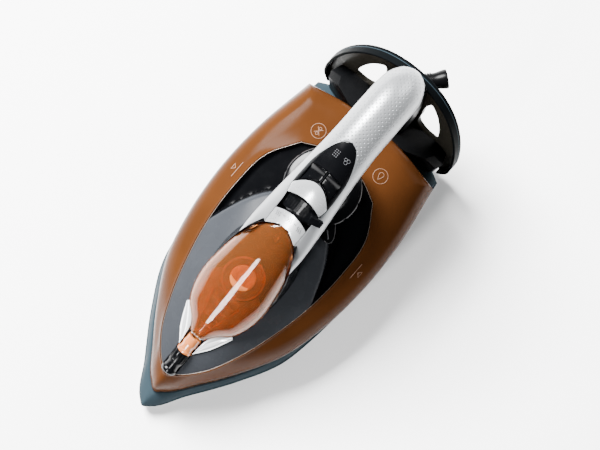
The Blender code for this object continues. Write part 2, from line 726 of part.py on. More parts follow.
def heel_block(name, back_off):
    """A block that fills everything behind the heel's flat, set forward by a distance."""
    square = [(-FAR, -FAR), (FAR, -FAR), (FAR, FAR), (-FAR, FAR)]
    return prism(name, square, 0, FAR, None, heel_frame(back_off))


def tank_floor_low():
    return 21 * HEIGHT_SCALE


def tank_rings(offset=0.0):
    return [inset(ring(TANK_FOOT_SIDE, TANK_FOOT_REAR), offset),
            inset(ring(TANK_BELT_SIDE, TANK_BELT_REAR), offset),
            inset(ring(SHOULDER_SIDE, SHOULDER_REAR), offset * 0.8, offset * 0.8),
            inset(ring(DECK_SIDE, DECK_REAR), 0, offset)]


def tank_section(height):
    """The tank's outline between its foot and its belt, at a height."""
    foot, belt = tank_rings()[:2]
    section = []
    for low, high in zip(foot, belt):
        share = (height - low.z) / (high.z - low.z)
        point = low.lerp(high, share)
        section.append(Vector((point.x, point.y, height)))
    return section


def make_tank():
    loft("tank_shell", tank_rings() + tank_rings(TANK_WALL)[::-1], "copper", closed=True)
    low = tank_floor_low()
    floor_rings = [inset(tank_section(height), TANK_WALL + GAP) for height in (low, low + FLOOR_WALL)]
    floor = loft("tank_floor", floor_rings, "slate")
    spindle_bore = SPINDLE_RADIUS + SLIDE_CLEARANCE
    cut(floor, cylinder("floor_spindle_hole", dial_center(low - MM), spindle_bore, 6 * MM, sides=16))
    rod = upright(VALVE_BEHIND, 0, low - MM)
    cut(floor, cylinder("floor_rod_hole", rod, VALVE_ROD_RADIUS + SLIDE_CLEARANCE, 6 * MM, sides=12))
    make_sleeve(low + FLOOR_WALL + GAP, spindle_bore)


def make_sleeve(low, bore):
    """The tube that takes the dial's spindle through the tank."""
    height = SLEEVE_TOP * HEIGHT_SCALE - low
    profile = [(bore, 0), (bore + SLEEVE_WALL, 0), (bore + SLEEVE_WALL, height), (bore, height)]
    turned("spindle_sleeve", dial_center(low), profile, "slate", sides=16)


def nozzle_axis():
    return Vector((-math.cos(NOZZLE_SLOPE), 0, math.sin(NOZZLE_SLOPE)))


def nozzle_point(behind):
    start = at(NOZZLE_FRONT, 0, NOZZLE_AXIS_HEIGHT)
    ahead = at(behind, 0, 0).x - start.x
    return start + nozzle_axis() * (-ahead / math.cos(NOZZLE_SLOPE))


def under_deck(name, depth):
    """A layer below the deck's surface, grown by the gap, for what stands on the deck."""
    return slab(name, deck_half(GAP), lambda u, y: deck_height(u, y) + GAP / HEIGHT_SCALE, depth, None)


def make_deck():
    deck = slab("deck", deck_half(GAP), deck_height, DECK_WALL, "slate")
    low = 45 * HEIGHT_SCALE
    holes = {"spindle": (DIAL_BEHIND, SPINDLE_RADIUS + SLIDE_CLEARANCE),
             "funnel": (FUNNEL_BEHIND, FUNNEL_NECK_RADIUS + GAP),
             "rod": (VALVE_BEHIND, VALVE_ROD_RADIUS + SLIDE_CLEARANCE)}
    for name, (behind, radius) in holes.items():
        cut(deck, cylinder(f"deck_{name}_hole", upright(behind, 0, low), radius, 50 * MM, sides=20))
    length = (nozzle_point(BARREL_REAR) - nozzle_point(NOZZLE_FRONT)).length
    start = nozzle_point(NOZZLE_FRONT) - nozzle_axis() * 6 * MM
    bed_length = length + 7 * MM
    bed = cylinder("deck_nozzle_bed", start, NOZZLE_RADIUS + GAP, bed_length, axis=nozzle_axis(), sides=24)
    cut(deck, bed)


def make_trims(lid_cut, deck_cut):
    """Two bright trims in a V, each along one front edge of the lid."""
    half = [(49.6, 5.8), (60.5, 13), (73.4, 19.6), (75, 18.2), (70.9, 12.5), (60, 5.9), (54, 5.7)]
    for name, sign in (("trim_left", -1), ("trim_right", 1)):
        points = [at(u, sign * y, 0).to_2d() for u, y in half]
        trim = slab(name, [(47, 0), (48, 9), (60, 15), (70, 21), (76, 22), (78, 0)],
                    lambda u, y: deck_height(u, y) + TRIM_RISE, TRIM_THICKNESS, "chrome", columns=16)
        keep(trim, prism(name + "_outline", points, 0, CUT_HIGH))
        cut(trim, lid_cut, deck_cut)


def make_nozzle():
    axis = nozzle_axis()
    front, middle, rear = (nozzle_point(u) for u in (NOZZLE_FRONT, BARREL_FRONT, BARREL_REAR))
    length = (middle - front).length - GAP
    nose, waist = NOZZLE_NOSE, NOZZLE_RADIUS * 0.86
    profile = [(NOZZLE_BORE, 0), (NOZZLE_RADIUS * 0.8, 0), (NOZZLE_RADIUS, nose * 0.5), (NOZZLE_RADIUS, nose),
               (waist, nose * 1.3), (waist, length * 0.55), (NOZZLE_RADIUS, length * 0.62),
               (NOZZLE_RADIUS, length),
               (NOZZLE_BORE, length)]
    turned("nozzle_body", front, profile, "black", axis=axis, sides=24)
    cylinder("nozzle_tip", front - axis * 1.2 * MM, NOZZLE_BORE - GAP, 9 * MM, "brass", axis=axis, sides=12)
    reach, neck = (rear - middle).length, BARREL_RADIUS * 0.88
    barrel = [(BARREL_BORE, 0), (BARREL_RADIUS, 0), (BARREL_RADIUS, 2 * MM), (neck, 3 * MM), (neck, reach),
              (BARREL_BORE, reach)]
    turned("nozzle_barrel", middle, barrel, "copper", axis=axis, sides=24)


# Lid, funnel and pillar.

def lid_solid(name, offset, color=None, edge_drop=0.0):
    return dome(name, LID, color, edge_drop, offset)


def lid_room(name):
    """Everything above the lid's rim inside its outline, grown by the gap."""
    table = [(u, w, rim, rim + 80) for u, w, rim, _ in LID]
    return dome(name, table, None, GAP, GAP)


def hinge_point():
    return at(LID_HINGE_BEHIND, 0, LID_HINGE_HEIGHT)


def make_lid(deck_cut):
    pin = hinge_point() - Vector((0, LID_PIN_LENGTH / 2, 0))
    lid = lid_solid("filler_lid", 0.0, "copper")
    inner = lid_solid("lid_inside", -LID_WALL, edge_drop=14 * MM)
    cut(lid, inner, deck_cut)
    across = Vector((0, 1, 0))
    bore_length = LID_PIN_LENGTH + 2 * GAP
    bore_start = pin - across * GAP
    cut(lid, cylinder("lid_pin_hole", bore_start, LID_PIN_RADIUS + GAP, bore_length, axis=across, sides=12))
    cylinder("lid_pin", pin, LID_PIN_RADIUS, LID_PIN_LENGTH, "steel", axis=across, sides=12,
             origin=hinge_point())
    seal_foot = funnel_top() + Vector((0, 0, GAP + 0.1 * MM))
    seal = cylinder("lid_seal", seal_foot, SEAL_RADIUS, 24 * MM, "rubber", sides=20)
    keep(seal, lid_solid("lid_seal_room", -LID_WALL - GAP, edge_drop=5 * MM))


def funnel_top():
    return upright(FUNNEL_BEHIND, 0, deck_height(FUNNEL_BEHIND, 0) * HEIGHT_SCALE + GAP + FUNNEL_HEIGHT)


def make_funnel():
    """A cup over a neck that goes down through the deck."""
    radius, neck = FUNNEL_RADIUS, FUNNEL_NECK_RADIUS
    inner, bore = radius - FUNNEL_WALL, neck - FUNNEL_WALL
    foot, shoulder = -FUNNEL_HEIGHT - FUNNEL_NECK_LENGTH, -FUNNEL_HEIGHT - 3 * MM
    profile = [(radius, 0), (radius, -3 * MM), (neck + 3 * MM, shoulder), (neck, shoulder), (neck, foot),
               (bore, foot),
               (bore, 2 * MM - FUNNEL_HEIGHT), (inner, -2 * MM), (inner, 0)]
    funnel = turned("filler_funnel", funnel_top(), profile, "slate", sides=20)
    block = under_deck("funnel_deck_cut", DECK_WALL + 2 * GAP)
    low = upright(FUNNEL_BEHIND, 0, 0)
    cut(block, cylinder("funnel_neck_room", low, neck + 0.1 * MM, FAR, sides=20))
    cut(funnel, block)


def pillar_rings(offset=0.0):
    return [inset(ring(PILLAR_FOOT_SIDE, PILLAR_FOOT_REAR), offset),
            inset(ring(PILLAR_HEAD_SIDE, PILLAR_HEAD_REAR), offset)]


def make_pillar(deck_cut, lid_cut, handle_cut):
    outer, inner = pillar_rings(), pillar_rings(SHELL_WALL)
    pillar = loft("front_pillar", outer + inner[::-1], "black", closed=True)
    cut(pillar, deck_cut, lid_cut, handle_cut)


# Handle.

def opening_half(offset):
    """Half the opening in the handle's top, moved inwards by an offset."""
    points = [at(u, y, 0) for u, y in OPENING]
    whole = [Vector((point.x, 0, 0)) for point in points[:1]] + points
    whole += [Vector((point.x, -point.y, 0)) for point in reversed(points[:-1])]
    return [point.to_2d() for point in inset(whole, offset)]


def arc_line(arc, reach):
    """Points across the handle on a bowed line, given as its middle, bow and half width."""
    middle, bow, half = arc
    sides = [reach * step / 4 for step in range(-4, 5)]
    return [(middle - bow * (side / half) ** 2, side) for side in sides]


def region(name, front, rear):
    """An upright prism between two lines of (behind, side) points."""
    points = [at(u, y, 0).to_2d() for u, y in front + rear[::-1]]
    return prism(name, points, CUT_LOW, CUT_HIGH)


def top_slab(name, start, end, lift, thickness, color):
    """A sheet that follows the top of the handle between two distances, lifted in drawn millimetres."""
    stations = [start + (end - start) * step / TOP_STATIONS for step in range(TOP_STATIONS + 1)]
    half = [(start - 1, 0)] + [(u, min(value(HANDLE, u, 1) - 1.6, 16)) for u in stations] + [(end + 1, 0)]
    return slab(name, half, lambda u, y: handle_top(u, y) + lift, thickness, color, columns=10)


def handle_solid(name, offset=0.0, color=None, edge_drop=0.0, behind=None):
    return dome(name, [row[:4] for row in HANDLE], color, edge_drop, offset, behind)


def grip_solid(name, offset=0.0, color=None, edge_drop=0.0, behind=None):
    table = [(u, w, seam - GAP / HEIGHT_SCALE, low) for u, w, seam, _, low in HANDLE]
    return dome(name, table, color, edge_drop, offset, behind, underside=True)


def make_cover(lid_cut):
    cover = handle_solid("handle_cover", 0.0, "silver")
    inner = handle_solid("cover_inside", -SHELL_WALL, edge_drop=6 * MM, behind=(HANDLE[0][0] - 4, 267))
    cut(cover, inner, prism("top_opening", opening_half(0), CUT_LOW, CUT_HIGH), lid_cut)


def make_grip(pillar_cut, lid_cut):
    grip = grip_solid("handle_grip", 0.0, "black", behind=(140, HANDLE[-1][0]))
    inner = grip_solid("grip_inside", -SHELL_WALL, edge_drop=-6 * MM, behind=(136, 264))
    cut(grip, inner, pillar_cut, lid_cut, heel_block("grip_heel_cut", RIM_DEPTH + GAP))


def make_inlays(lid_cut):
    """The icon band, the bright saddle and the button panel, which fill the opening in the handle's top."""
    room = prism("opening_room", opening_half(GAP), CUT_LOW, CUT_HIGH)
    arcs = (WINDOW_FRONT, SADDLE_FRONT, SADDLE_REAR)
    window_front, window_rear, saddle_rear = (arc_line(arc, INLAY_HALF) for arc in arcs)
    gap = GAP / MM
    band = top_slab("icon_band", 143, 159, -0.1, 2.2 * MM, "silver")
    band_front = [(143, y) for _, y in window_front]
    keep(band, room, region("band_region", band_front, [(u - gap, y) for u, y in window_front]))
    cut(band, lid_cut)
    saddle = top_slab("saddle", 160, 181, 0.5, 3 * MM, "silver")
    keep(saddle, room, region("saddle_region", [(u + gap, y) for u, y in window_rear], saddle_rear))
    panel = top_slab("button_panel", 168, 212, -0.3, 3 * MM, "black")
    panel_front = [(u + gap, y) for u, y in saddle_rear]
    keep(panel, room, region("panel_region", panel_front, [(213, y) for _, y in saddle_rear]))
    for sign in (-1, 1):
        cut(panel, button_prism(f"button_hole_{sign}", sign, -SLIDE_CLEARANCE))


def button_prism(name, sign, offset):
    front = [(u + 1.6, y) for u, y in arc_line(SADDLE_REAR, 11.4)[5:]]
    front = [(SADDLE_REAR[0] + 1.5, 0.9)] + front
    rear = [(RIDGE_BEHIND - 1.2, 11), (RIDGE_BEHIND, 0.9)]
    points = [at(u, y, 0) for u, y in front + rear]
    points = inset(points, offset)
    if sign < 0:
        points = [Vector((point.x, -point.y, 0)) for point in reversed(points)]
    return prism(name, [point.to_2d() for point in points], CUT_LOW, CUT_HIGH)


def make_buttons():
    floor = grip_floor(BUTTON_BEHIND) + GAP
    plunger_low = floor + PUMP_FLOOR + PLUNGER_REST + BUTTON_TRAVEL
    cap_low = handle_top(BUTTON_BEHIND, BUTTON_SIDE) * HEIGHT_SCALE - BUTTON_HEIGHT - 1.2 * MM
    for name, sign in (("spray", -1), ("steam", 1)):
        button = top_slab(name + "_button", 170, 191, -0.8, BUTTON_HEIGHT, "black")
        keep(button, button_prism(name + "_button_outline", sign, 0.0))
        foot = upright(BUTTON_BEHIND, sign * BUTTON_SIDE, plunger_low)
        length = cap_low + PLUNGER_OVERLAP - plunger_low
        combine(button, "UNION", cylinder(name + "_plunger", foot, PLUNGER_RADIUS, length, sides=12))
        make_pump(name, sign, floor)


def make_pump(name, sign, floor):
    bore = PLUNGER_RADIUS + SLIDE_CLEARANCE
    profile = [(0, 0), (PUMP_RADIUS, 0), (PUMP_RADIUS, PUMP_HEIGHT), (bore, PUMP_HEIGHT), (bore, PUMP_FLOOR),
               (0, PUMP_FLOOR)]
    place = upright(BUTTON_BEHIND, sign * BUTTON_SIDE, floor)
    pump = turned(name + "_pump", place, profile, "white", sides=16)
    keep(pump, grip_solid(name + "_pump_room", -SHELL_WALL - GAP, edge_drop=-12 * MM, behind=(150, 262)))


def grip_floor(behind):
    return value([(row[0], row[4]) for row in HANDLE], behind) * HEIGHT_SCALE + SHELL_WALL


def lever_frame():
    """Axes of the steam lever: x along its axis to the rear, y sideways, z out of the handle."""
    surface = at(LEVER_BEHIND, 0, value(HANDLE, LEVER_BEHIND, 3))
    along = Vector((-math.cos(LEVER_SLOPE), 0, math.sin(LEVER_SLOPE)))
    out = Vector((math.sin(LEVER_SLOPE), 0, math.cos(LEVER_SLOPE)))
    turn = Matrix((along, Vector((0, 1, 0)), out)).transposed().to_4x4()
    return Matrix.Translation(surface - out * LEVER_RADIUS) @ turn


def arc_plate(name, inner, outer, start, end, near, far, color=None, steps=10, origin=None):
    """A piece of a tube round the lever's axis, between two angles from upright and two places along it."""
    bm = bmesh.new()
    frame = lever_frame()
    angles = [start + (end - start) * step / steps for step in range(steps + 1)]
    arc = [(inner, angle) for angle in angles] + [(outer, angle) for angle in reversed(angles)]
    turned_arc = [(radius * math.sin(angle), radius * math.cos(angle)) for radius, angle in arc]
    points = [frame @ Vector((near, along, up)) for along, up in turned_arc]
    face = bm.faces.new([bm.verts.new(point) for point in points])
    made = bmesh.ops.extrude_face_region(bm, geom=[face])
    fresh = [item for item in made["geom"] if isinstance(item, bmesh.types.BMVert)]
    bmesh.ops.translate(bm, verts=fresh, vec=frame.to_3x3() @ Vector((far - near, 0, 0)))
    return finish(name, bm, color, origin)


def make_lever():
    plate_top = LEVER_RADIUS - LEVER_RECESS
    plate_low = plate_top - LEVER_PLATE
    track_top = plate_low - GAP
    half = LEVER_WIDTH / 2
    reach = half + TRACK_MARGIN
    track = arc_plate("lever_track", track_top - TRACK_WALL, track_top, -TRACK_HALF_ANGLE, TRACK_HALF_ANGLE,
                      -reach, reach, "black", steps=12)
    keep(track, handle_solid("lever_track_room", -SHELL_WALL - GAP, edge_drop=6 * MM, behind=(140, 200)))
    origin = lever_frame().translation
    lever = arc_plate("steam_lever", plate_low, plate_top, LEVER_START, LEVER_END, -half, half, "black",
                      steps=6, origin=origin)
    nub_start, nub_top = LEVER_END - LEVER_NUB_ANGLE, LEVER_RADIUS + LEVER_NUB_HEIGHT
    nub_foot, nub_end = plate_low + 0.4 * MM, LEVER_END + math.radians(1)
    nub = arc_plate("lever_nub", nub_foot, nub_top, nub_start, nub_end, 0, half, steps=2)
    head_foot = LEVER_RADIUS + 1.1 * MM
    head = arc_plate("lever_head", head_foot, nub_top, nub_start, LEVER_NUB_END, -MM, half, steps=3)
    combine(lever, "UNION", nub, head)


# Dial.

def make_dial_base(deck_cut):
    foot = DIAL_BASE_FOOT * HEIGHT_SCALE
    height = DIAL_UNDERSIDE - GAP - foot
    bore = SPINDLE_RADIUS + SLIDE_CLEARANCE
    profile = [(bore, 0), (DIAL_BASE_RADIUS, 0), (DIAL_BASE_RADIUS, height), (bore, height)]
    cut(turned("dial_base", dial_center(foot), profile, "black", sides=24), deck_cut)


def dial_tab(center):
    """The pointed grip that sticks out of the dial's edge."""
    out = Vector((math.cos(DIAL_TAB_ANGLE), math.sin(DIAL_TAB_ANGLE), 0))
    across = Vector((-out.y, out.x, 0))
    half = DIAL_TAB_WIDTH / 2
    root, bend = DIAL_RADIUS - 6 * MM, DIAL_TAB_REACH - 5 * MM
    side = [(root, half * 1.25), (bend, half * 0.8), (DIAL_TAB_REACH, half * 0.35)]
    outline = [(reach, -width) for reach, width in side] + side[::-1]
    points = [(center + out * reach + across * width).to_2d() for reach, width in outline]
    return prism("dial_tab", points, DIAL_UNDERSIDE + 1.5 * MM, DIAL_UNDERSIDE + 6 * MM)


def make_dial():
    center = dial_center(DIAL_UNDERSIDE)
    radius, top = DIAL_RADIUS, DIAL_HEIGHT
    profile = [(0, 0), (radius - MM, 0), (radius, MM), (radius, top - 3 * MM),
               (radius - 2.4 * MM, top - 0.8 * MM),
               (radius * 0.6, top), (0, top)]
    dial = turned("dial", center, profile, "black", sides=36, origin=center)
    for index in range(DIAL_FLUTES):
        angle = math.tau * (index + 0.5) / DIAL_FLUTES
        spot = center + Vector((math.cos(angle), math.sin(angle), 0)) * (radius + 0.9 * MM)
        spot.z = DIAL_UNDERSIDE - MM
        cut(dial, cylinder(f"dial_flute_{index}", spot, 2.4 * MM, top + 2 * MM, sides=8))
    combine(dial, "UNION", dial_tab(center))
    socket = SPINDLE_RADIUS - SPINDLE_NECK + GAP
    cut(dial, cylinder("dial_socket", dial_center(DIAL_UNDERSIDE - MM), socket, 5 * MM, sides=16))


def make_spindle():
    foot = casting_top() + GAP + SOCKET_FLOOR + GAP
    shoulder = DIAL_UNDERSIDE - GAP - foot
    thin, top = SPINDLE_RADIUS - SPINDLE_NECK, shoulder + SPINDLE_ENTRY
    thick = SPINDLE_RADIUS
    profile = [(0, 0), (thick, 0), (thick, shoulder), (thin, shoulder), (thin, top), (0, top)]
    turned("thermostat_spindle", dial_center(foot), profile, "steel", sides=16, origin=dial_center(foot))


# Heel, column and cord swivel.

def arch_line(offset=0.0):
    """The heel's outline in the axes of its flat, from one foot over the top to the other, moved inwards."""
    half = spline(HEEL_ARCH, 2, True)
    whole = [Vector(on_heel(y, z)).to_3d() for y, z in half]
    whole += [Vector((-point.x, point.y, 0)) for point in reversed(whole[:-1])]
    moved = []
    for index, point in enumerate(whole):
        into = point - whole[max(index - 1, 0)]
        out = whole[min(index + 1, len(whole) - 1)] - point
        along = (into + out).to_2d().normalized()
        moved.append(Vector((point.x + along.y * offset, point.y - along.x * offset)))
    moved[-1].y = moved[0].y
    return moved


def make_heel():
    frame = heel_frame(0)
    outline = arch_line(RIM_THICKNESS + GAP)
    plate = prism("heel_ring", outline, -HEEL_THICKNESS, 0, "black", frame)
    for sign in (-1, 1):
        hole = spline([(sign * y, z) for y, z in HEEL_HOLE + HEEL_HOLE[:1]], 2)[:-1]
        corners = [on_heel(y, z) for y, z in hole]
        cut(plate, prism(f"heel_hole_{sign}", corners, -10 * MM, 10 * MM, None, frame))
    outer, inner = arch_line(), arch_line(RIM_THICKNESS)
    sections = []
    for near, far in zip(outer, inner):
        corners = [(near, 0), (near, -RIM_DEPTH), (far, -RIM_DEPTH), (far, 0)]
        sections.append([frame @ Vector((spot.x, spot.y, depth)) for spot, depth in corners])
    loft("heel_rim", sections, "blue_grey")
    return plate


def body_rings(offset=0.0):
    levels = [
        [(237, 0, 14), (239, 28, 14), (244, 44, 14), (246.5, 46, 14), (258, 45, 14), (259, 0, 14)],
        [(237, 0, 44), (239, 28, 44), (245.5, 46.5, 44), (250, 48, 44), (260, 44, 44), (261, 0, 44)],
        [(237, 0, 58), (239, 24, 57), (244, 37, 54), (250, 40, 51.5), (258.5, 36, 48), (259, 0, 48)],
    ]
    rings = [[at(*point) for point in half + [(u, -y, z) for u, y, z in half[-2:0:-1]]] for half in levels]
    rings = [inset(points, -offset) for points in rings]
    return rings[:2] + [[point + Vector((0, 0, offset)) for point in rings[2]]]


def make_rear_body(tank_cut):
    """The dark body between the tank's rear wall and the heel, hollow from below."""
    rings = body_rings()
    body = loft("rear_body", rings, "slate")
    inner = [inset(rings[0], SHELL_WALL, 4 * MM), inset(rings[1], SHELL_WALL, 4 * MM)]
    hollow = loft("rear_hollow", inner, None)
    cut(hollow, heel_block("hollow_face", HEEL_THICKNESS + GAP + SHELL_WALL))
    cut(hollow, box("hollow_front", at(241.6 + SHELL_WALL / MM, -90, 0), at(200, 90, 90)))
    skirt_cut = loft("skirt_clearance", skirt_outside(2 * GAP), None)
    cut(body, heel_block("body_heel_cut", HEEL_THICKNESS + GAP), tank_cut, skirt_cut, hollow)
    box("terminal_block", at(251, -8, 28), at(244.5, 8, 39.6 - GAP / MM), "white")


def swivel_center():
    return at(SWIVEL_BEHIND, 0, SWIVEL_HEIGHT)


def dome_arc(radius, start, end):
    """Points of a turned sphere's profile, between two angles from the swivel's axis."""
    steps = 5
    angles = [math.radians(start + (end - start) * step / steps) for step in range(steps + 1)]
    return [(radius * math.sin(angle), radius * math.cos(angle)) for angle in angles]


def make_socket():
    """The room that the swivel needs: its dome with its collar, and the ball inside them."""
    inner = BALL_RADIUS + SLIDE_CLEARANCE
    outer = inner + DOME_WALL + GAP
    ball_room = [(0, -inner)] + dome_arc(inner, 180, 90)[1:-1]
    collar = [(inner, -DOME_COLLAR - GAP), (outer, -DOME_COLLAR - GAP)]
    profile = ball_room + collar + dome_arc(outer, 90, 0)[:-1] + [(0, outer)]
    return turned("swivel_socket", swivel_center(), profile, axis=Vector((-1, 0, 0)), sides=20)


def make_column(grip_cut, socket, body_cut):
    corner = COLUMN_CORNER
    levels = [(44, 243, 262, 1), (80, 248.5, 270, 0.95), (100, 251, 276, 0.8), (119, 250, 280, 0.73)]
    rings = []
    for height, front, rear, share in levels:
        half = COLUMN_HALF_WIDTH * share
        side = [(front, half - corner), (front + corner, half), (rear, half)]
        corners = [(front, corner - half)] + side + [(rear, -half), (front + corner, -half)]
        rings.append([at(u, y, height) for u, y in corners])
    column = loft("rear_column", rings, "black")
    duct = cylinder("wire_duct", at(256, 0, 40), DUCT_RADIUS, 90 * MM, sides=12)
    low = on_heel(0, 108.5)[1]
    square = [(-FAR, low), (FAR, low), (FAR, 2 * low), (-FAR, 2 * low)]
    rim_room = prism("column_rim_cut", square, 0, 30 * MM, None, heel_frame(RIM_DEPTH + GAP))
    heel_room = heel_block("column_heel_cut", HEEL_THICKNESS + GAP)
    cut(column, heel_room, grip_cut, socket, duct, rim_room, body_cut)


def swivel_axis(angle):
    return Vector((-math.cos(angle), math.sin(angle), 0))


def make_swivel():
    center = swivel_center()
    inner = BALL_RADIUS + SLIDE_CLEARANCE
    outer = inner + DOME_WALL
    profile = [(inner, -DOME_COLLAR), (outer, -DOME_COLLAR)] + dome_arc(outer, 90, 0) + dome_arc(inner, 0, 90)
    rear = Vector((-1, 0, 0))
    dome_ring = turned("swivel_dome", center, profile, "black", axis=rear, sides=20, origin=center)
    slot_half = BUSH_MOUTH + SLIDE_CLEARANCE
    reach = outer + 4 * MM
    waist_turn = math.asin((BUSH_WAIST + BUSH_SHOULDER + SLIDE_CLEARANCE) / inner)
    last_turn = BUSH_TURN + waist_turn + SLOT_MARGIN
    turns = [(-SLOT_START, reach), (0, reach * 1.3), (SLOT_START, reach * 1.3), (last_turn, reach)]
    points = [center] + [center + swivel_axis(turn) * far for turn, far in turns]
    outline = [point.to_2d() for point in points]
    cut(dome_ring, prism("swivel_slot", outline, center.z - slot_half, center.z + slot_half))


def make_bush():
    ball, length = BALL_RADIUS, BUSH_LENGTH
    shoulder = BUSH_WAIST + BUSH_SHOULDER
    profile = [(BUSH_BORE, -ball * 0.4), (ball * 0.92, -ball * 0.4), (ball, 0), (ball * 0.92, ball * 0.4),
               (shoulder, ball * 0.7), (shoulder, length * 0.56), (BUSH_WAIST, length * 0.6),
               (BUSH_WAIST, length * 0.78), (BUSH_MOUTH, length * 0.92), (BUSH_MOUTH, length),
               (BUSH_MOUTH - 1.4 * MM, length), (BUSH_BORE, length * 0.8)]
    center = swivel_center()
    turned("cord_bush", center, profile, "rubber", axis=swivel_axis(BUSH_TURN), sides=18, origin=center)


def make_screws(plate):
    """Countersunk screws through the heel plate, with a slot in each head."""
    frame = heel_frame(0)
    out = frame.col[2].to_3d()
    long, wide = SCREW_SLOT
    for name, (side, height) in SCREW_PLACES.items():
        x, y = on_heel(side, height)
        center = frame @ Vector((x, y, SCREW_SINK - HEEL_THICKNESS))
        screw = cylinder(name, center, SCREW_RADIUS, SCREW_HEIGHT, "steel", axis=out, sides=16)
        foot = center - out * GAP
        cut(plate, cylinder(name + "_hole", foot, SCREW_RADIUS + GAP, 6 * MM, axis=out, sides=16))
        corners = [(x - long, y - wide), (x + long, y - wide), (x + long, y + wide), (x - long, y + wide)]
        cut(screw, prism(name + "_slot", corners, SCREW_SINK + MM - HEEL_THICKNESS, 4 * MM, None, frame))


def main():
    deck_cut = under_deck("deck_clearance", DECK_CUT_DEPTH)
    lid_cut = lid_room("lid_clearance")
    handle_cut = handle_solid("handle_clearance", GAP, edge_drop=GAP)
    pillar_cut = loft("pillar_clearance", pillar_rings(-GAP), None)
    grip_cut = grip_solid("grip_clearance", 2 * GAP, edge_drop=-20 * MM, behind=(150, HANDLE[-1][0]))
    tank_outer = [inset(points, -GAP) for points in tank_rings()]
    tank_cut = loft("tank_clearance", [level(tank_outer[0], tank_floor_low() - 6 * MM)] + tank_outer, None)
    make_soleplate()
    make_heater()
    make_valve()
    make_thermostat()
    make_posts()
    make_skirt()
    make_tank()
    make_deck()
    make_trims(lid_cut, deck_cut)
    make_nozzle()
    make_lid(deck_cut)
    make_funnel()
    make_pillar(deck_cut, lid_cut, handle_cut)
    make_cover(lid_cut)
    make_grip(pillar_cut, lid_cut)
    make_inlays(lid_cut)
    make_buttons()
    make_lever()
    make_dial_base(deck_cut)
    make_dial()
    make_spindle()
    plate = make_heel()
    make_rear_body(tank_cut)
    socket = make_socket()
    bush_room = cylinder("bush_room", swivel_center(), BUSH_ROOM_RADIUS, BUSH_ROOM_DEPTH,
                         axis=Vector((-1, 0, 0)), sides=20, end_radius=BUSH_ROOM_RADIUS + BUSH_ROOM_FLARE)
    cut(plate, socket, bush_room)
    make_column(grip_cut, socket, loft("body_clearance", body_rings(GAP), None))
    make_swivel()
    make_bush()
    make_screws(plate)


main()
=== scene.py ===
"""The finish of the steam iron: detailed shells, procedural materials, a camera and soft studio light.

The outlines repeat the CAD source's, in millimetres as (behind, side, height): the distance behind the
tip, the distance from the middle plane and the height. at() turns them into the row frame in metres.
"""

import math

import bmesh
import bpy
from mathutils import Matrix, Vector


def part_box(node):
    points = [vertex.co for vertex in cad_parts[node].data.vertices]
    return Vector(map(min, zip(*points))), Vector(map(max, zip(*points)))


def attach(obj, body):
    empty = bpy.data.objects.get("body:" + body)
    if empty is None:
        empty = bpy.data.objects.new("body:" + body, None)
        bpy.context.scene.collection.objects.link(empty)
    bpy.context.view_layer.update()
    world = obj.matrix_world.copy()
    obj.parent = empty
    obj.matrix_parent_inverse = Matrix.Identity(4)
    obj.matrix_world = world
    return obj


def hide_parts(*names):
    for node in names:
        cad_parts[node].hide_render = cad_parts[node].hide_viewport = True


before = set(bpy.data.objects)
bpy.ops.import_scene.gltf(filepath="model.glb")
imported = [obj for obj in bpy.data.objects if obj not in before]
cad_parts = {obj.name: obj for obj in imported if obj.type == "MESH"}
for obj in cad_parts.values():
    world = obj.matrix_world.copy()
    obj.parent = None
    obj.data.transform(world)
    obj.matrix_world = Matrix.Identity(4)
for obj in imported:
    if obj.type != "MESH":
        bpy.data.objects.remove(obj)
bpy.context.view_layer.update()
MM = 0.001
TIP_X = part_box("skirt")[1].x

# Camera: the photograph's viewing direction, seen from well above and a little behind the left side.
VIEW_AZIMUTH = math.radians(130.72)
VIEW_ELEVATION = math.radians(85.7)
VIEW_DISTANCE = 1.140
VIEW_TARGET = Vector((TIP_X - 0.15806, 0.0038, 0.060))
LENS_MM = 105.96

SPANS = 6
GAP = 0.3 * MM

# Where the deck falls into the dish round the dial.
DISH_FRONT = 168
DISH_BOW = 30
DISH_HALF_WIDTH = 37

# Places that several pieces share, in the styled millimetres, and angles.
DIAL_BEHIND = 184.3
FILLER_BEHIND = 107.9
VALVE_BEHIND = 140
BUTTON_BEHIND = 182.3
BUTTON_SIDE = 5.9
SWIVEL_PLACE = (268.5, 0, 90)
NOZZLE_SLOPE = math.radians(22)
BUSH_TURN = math.radians(39)
TAB_TURN = math.radians(47)
REARWARDS = Vector((-1, 0, 0))


def make_camera():
    data = bpy.data.cameras.new("camera")
    data.lens = LENS_MM
    data.sensor_width = 36
    data.clip_end = 10
    camera = bpy.data.objects.new("camera", data)
    bpy.context.scene.collection.objects.link(camera)
    flat = math.cos(VIEW_ELEVATION)
    away = Vector((math.sin(VIEW_AZIMUTH) * flat, -math.cos(VIEW_AZIMUTH) * flat, math.sin(VIEW_ELEVATION)))
    camera.location = VIEW_TARGET + away * VIEW_DISTANCE
    camera.rotation_euler = (-away).to_track_quat("-Z", "Y").to_euler()
    bpy.context.scene.camera = camera


make_camera()

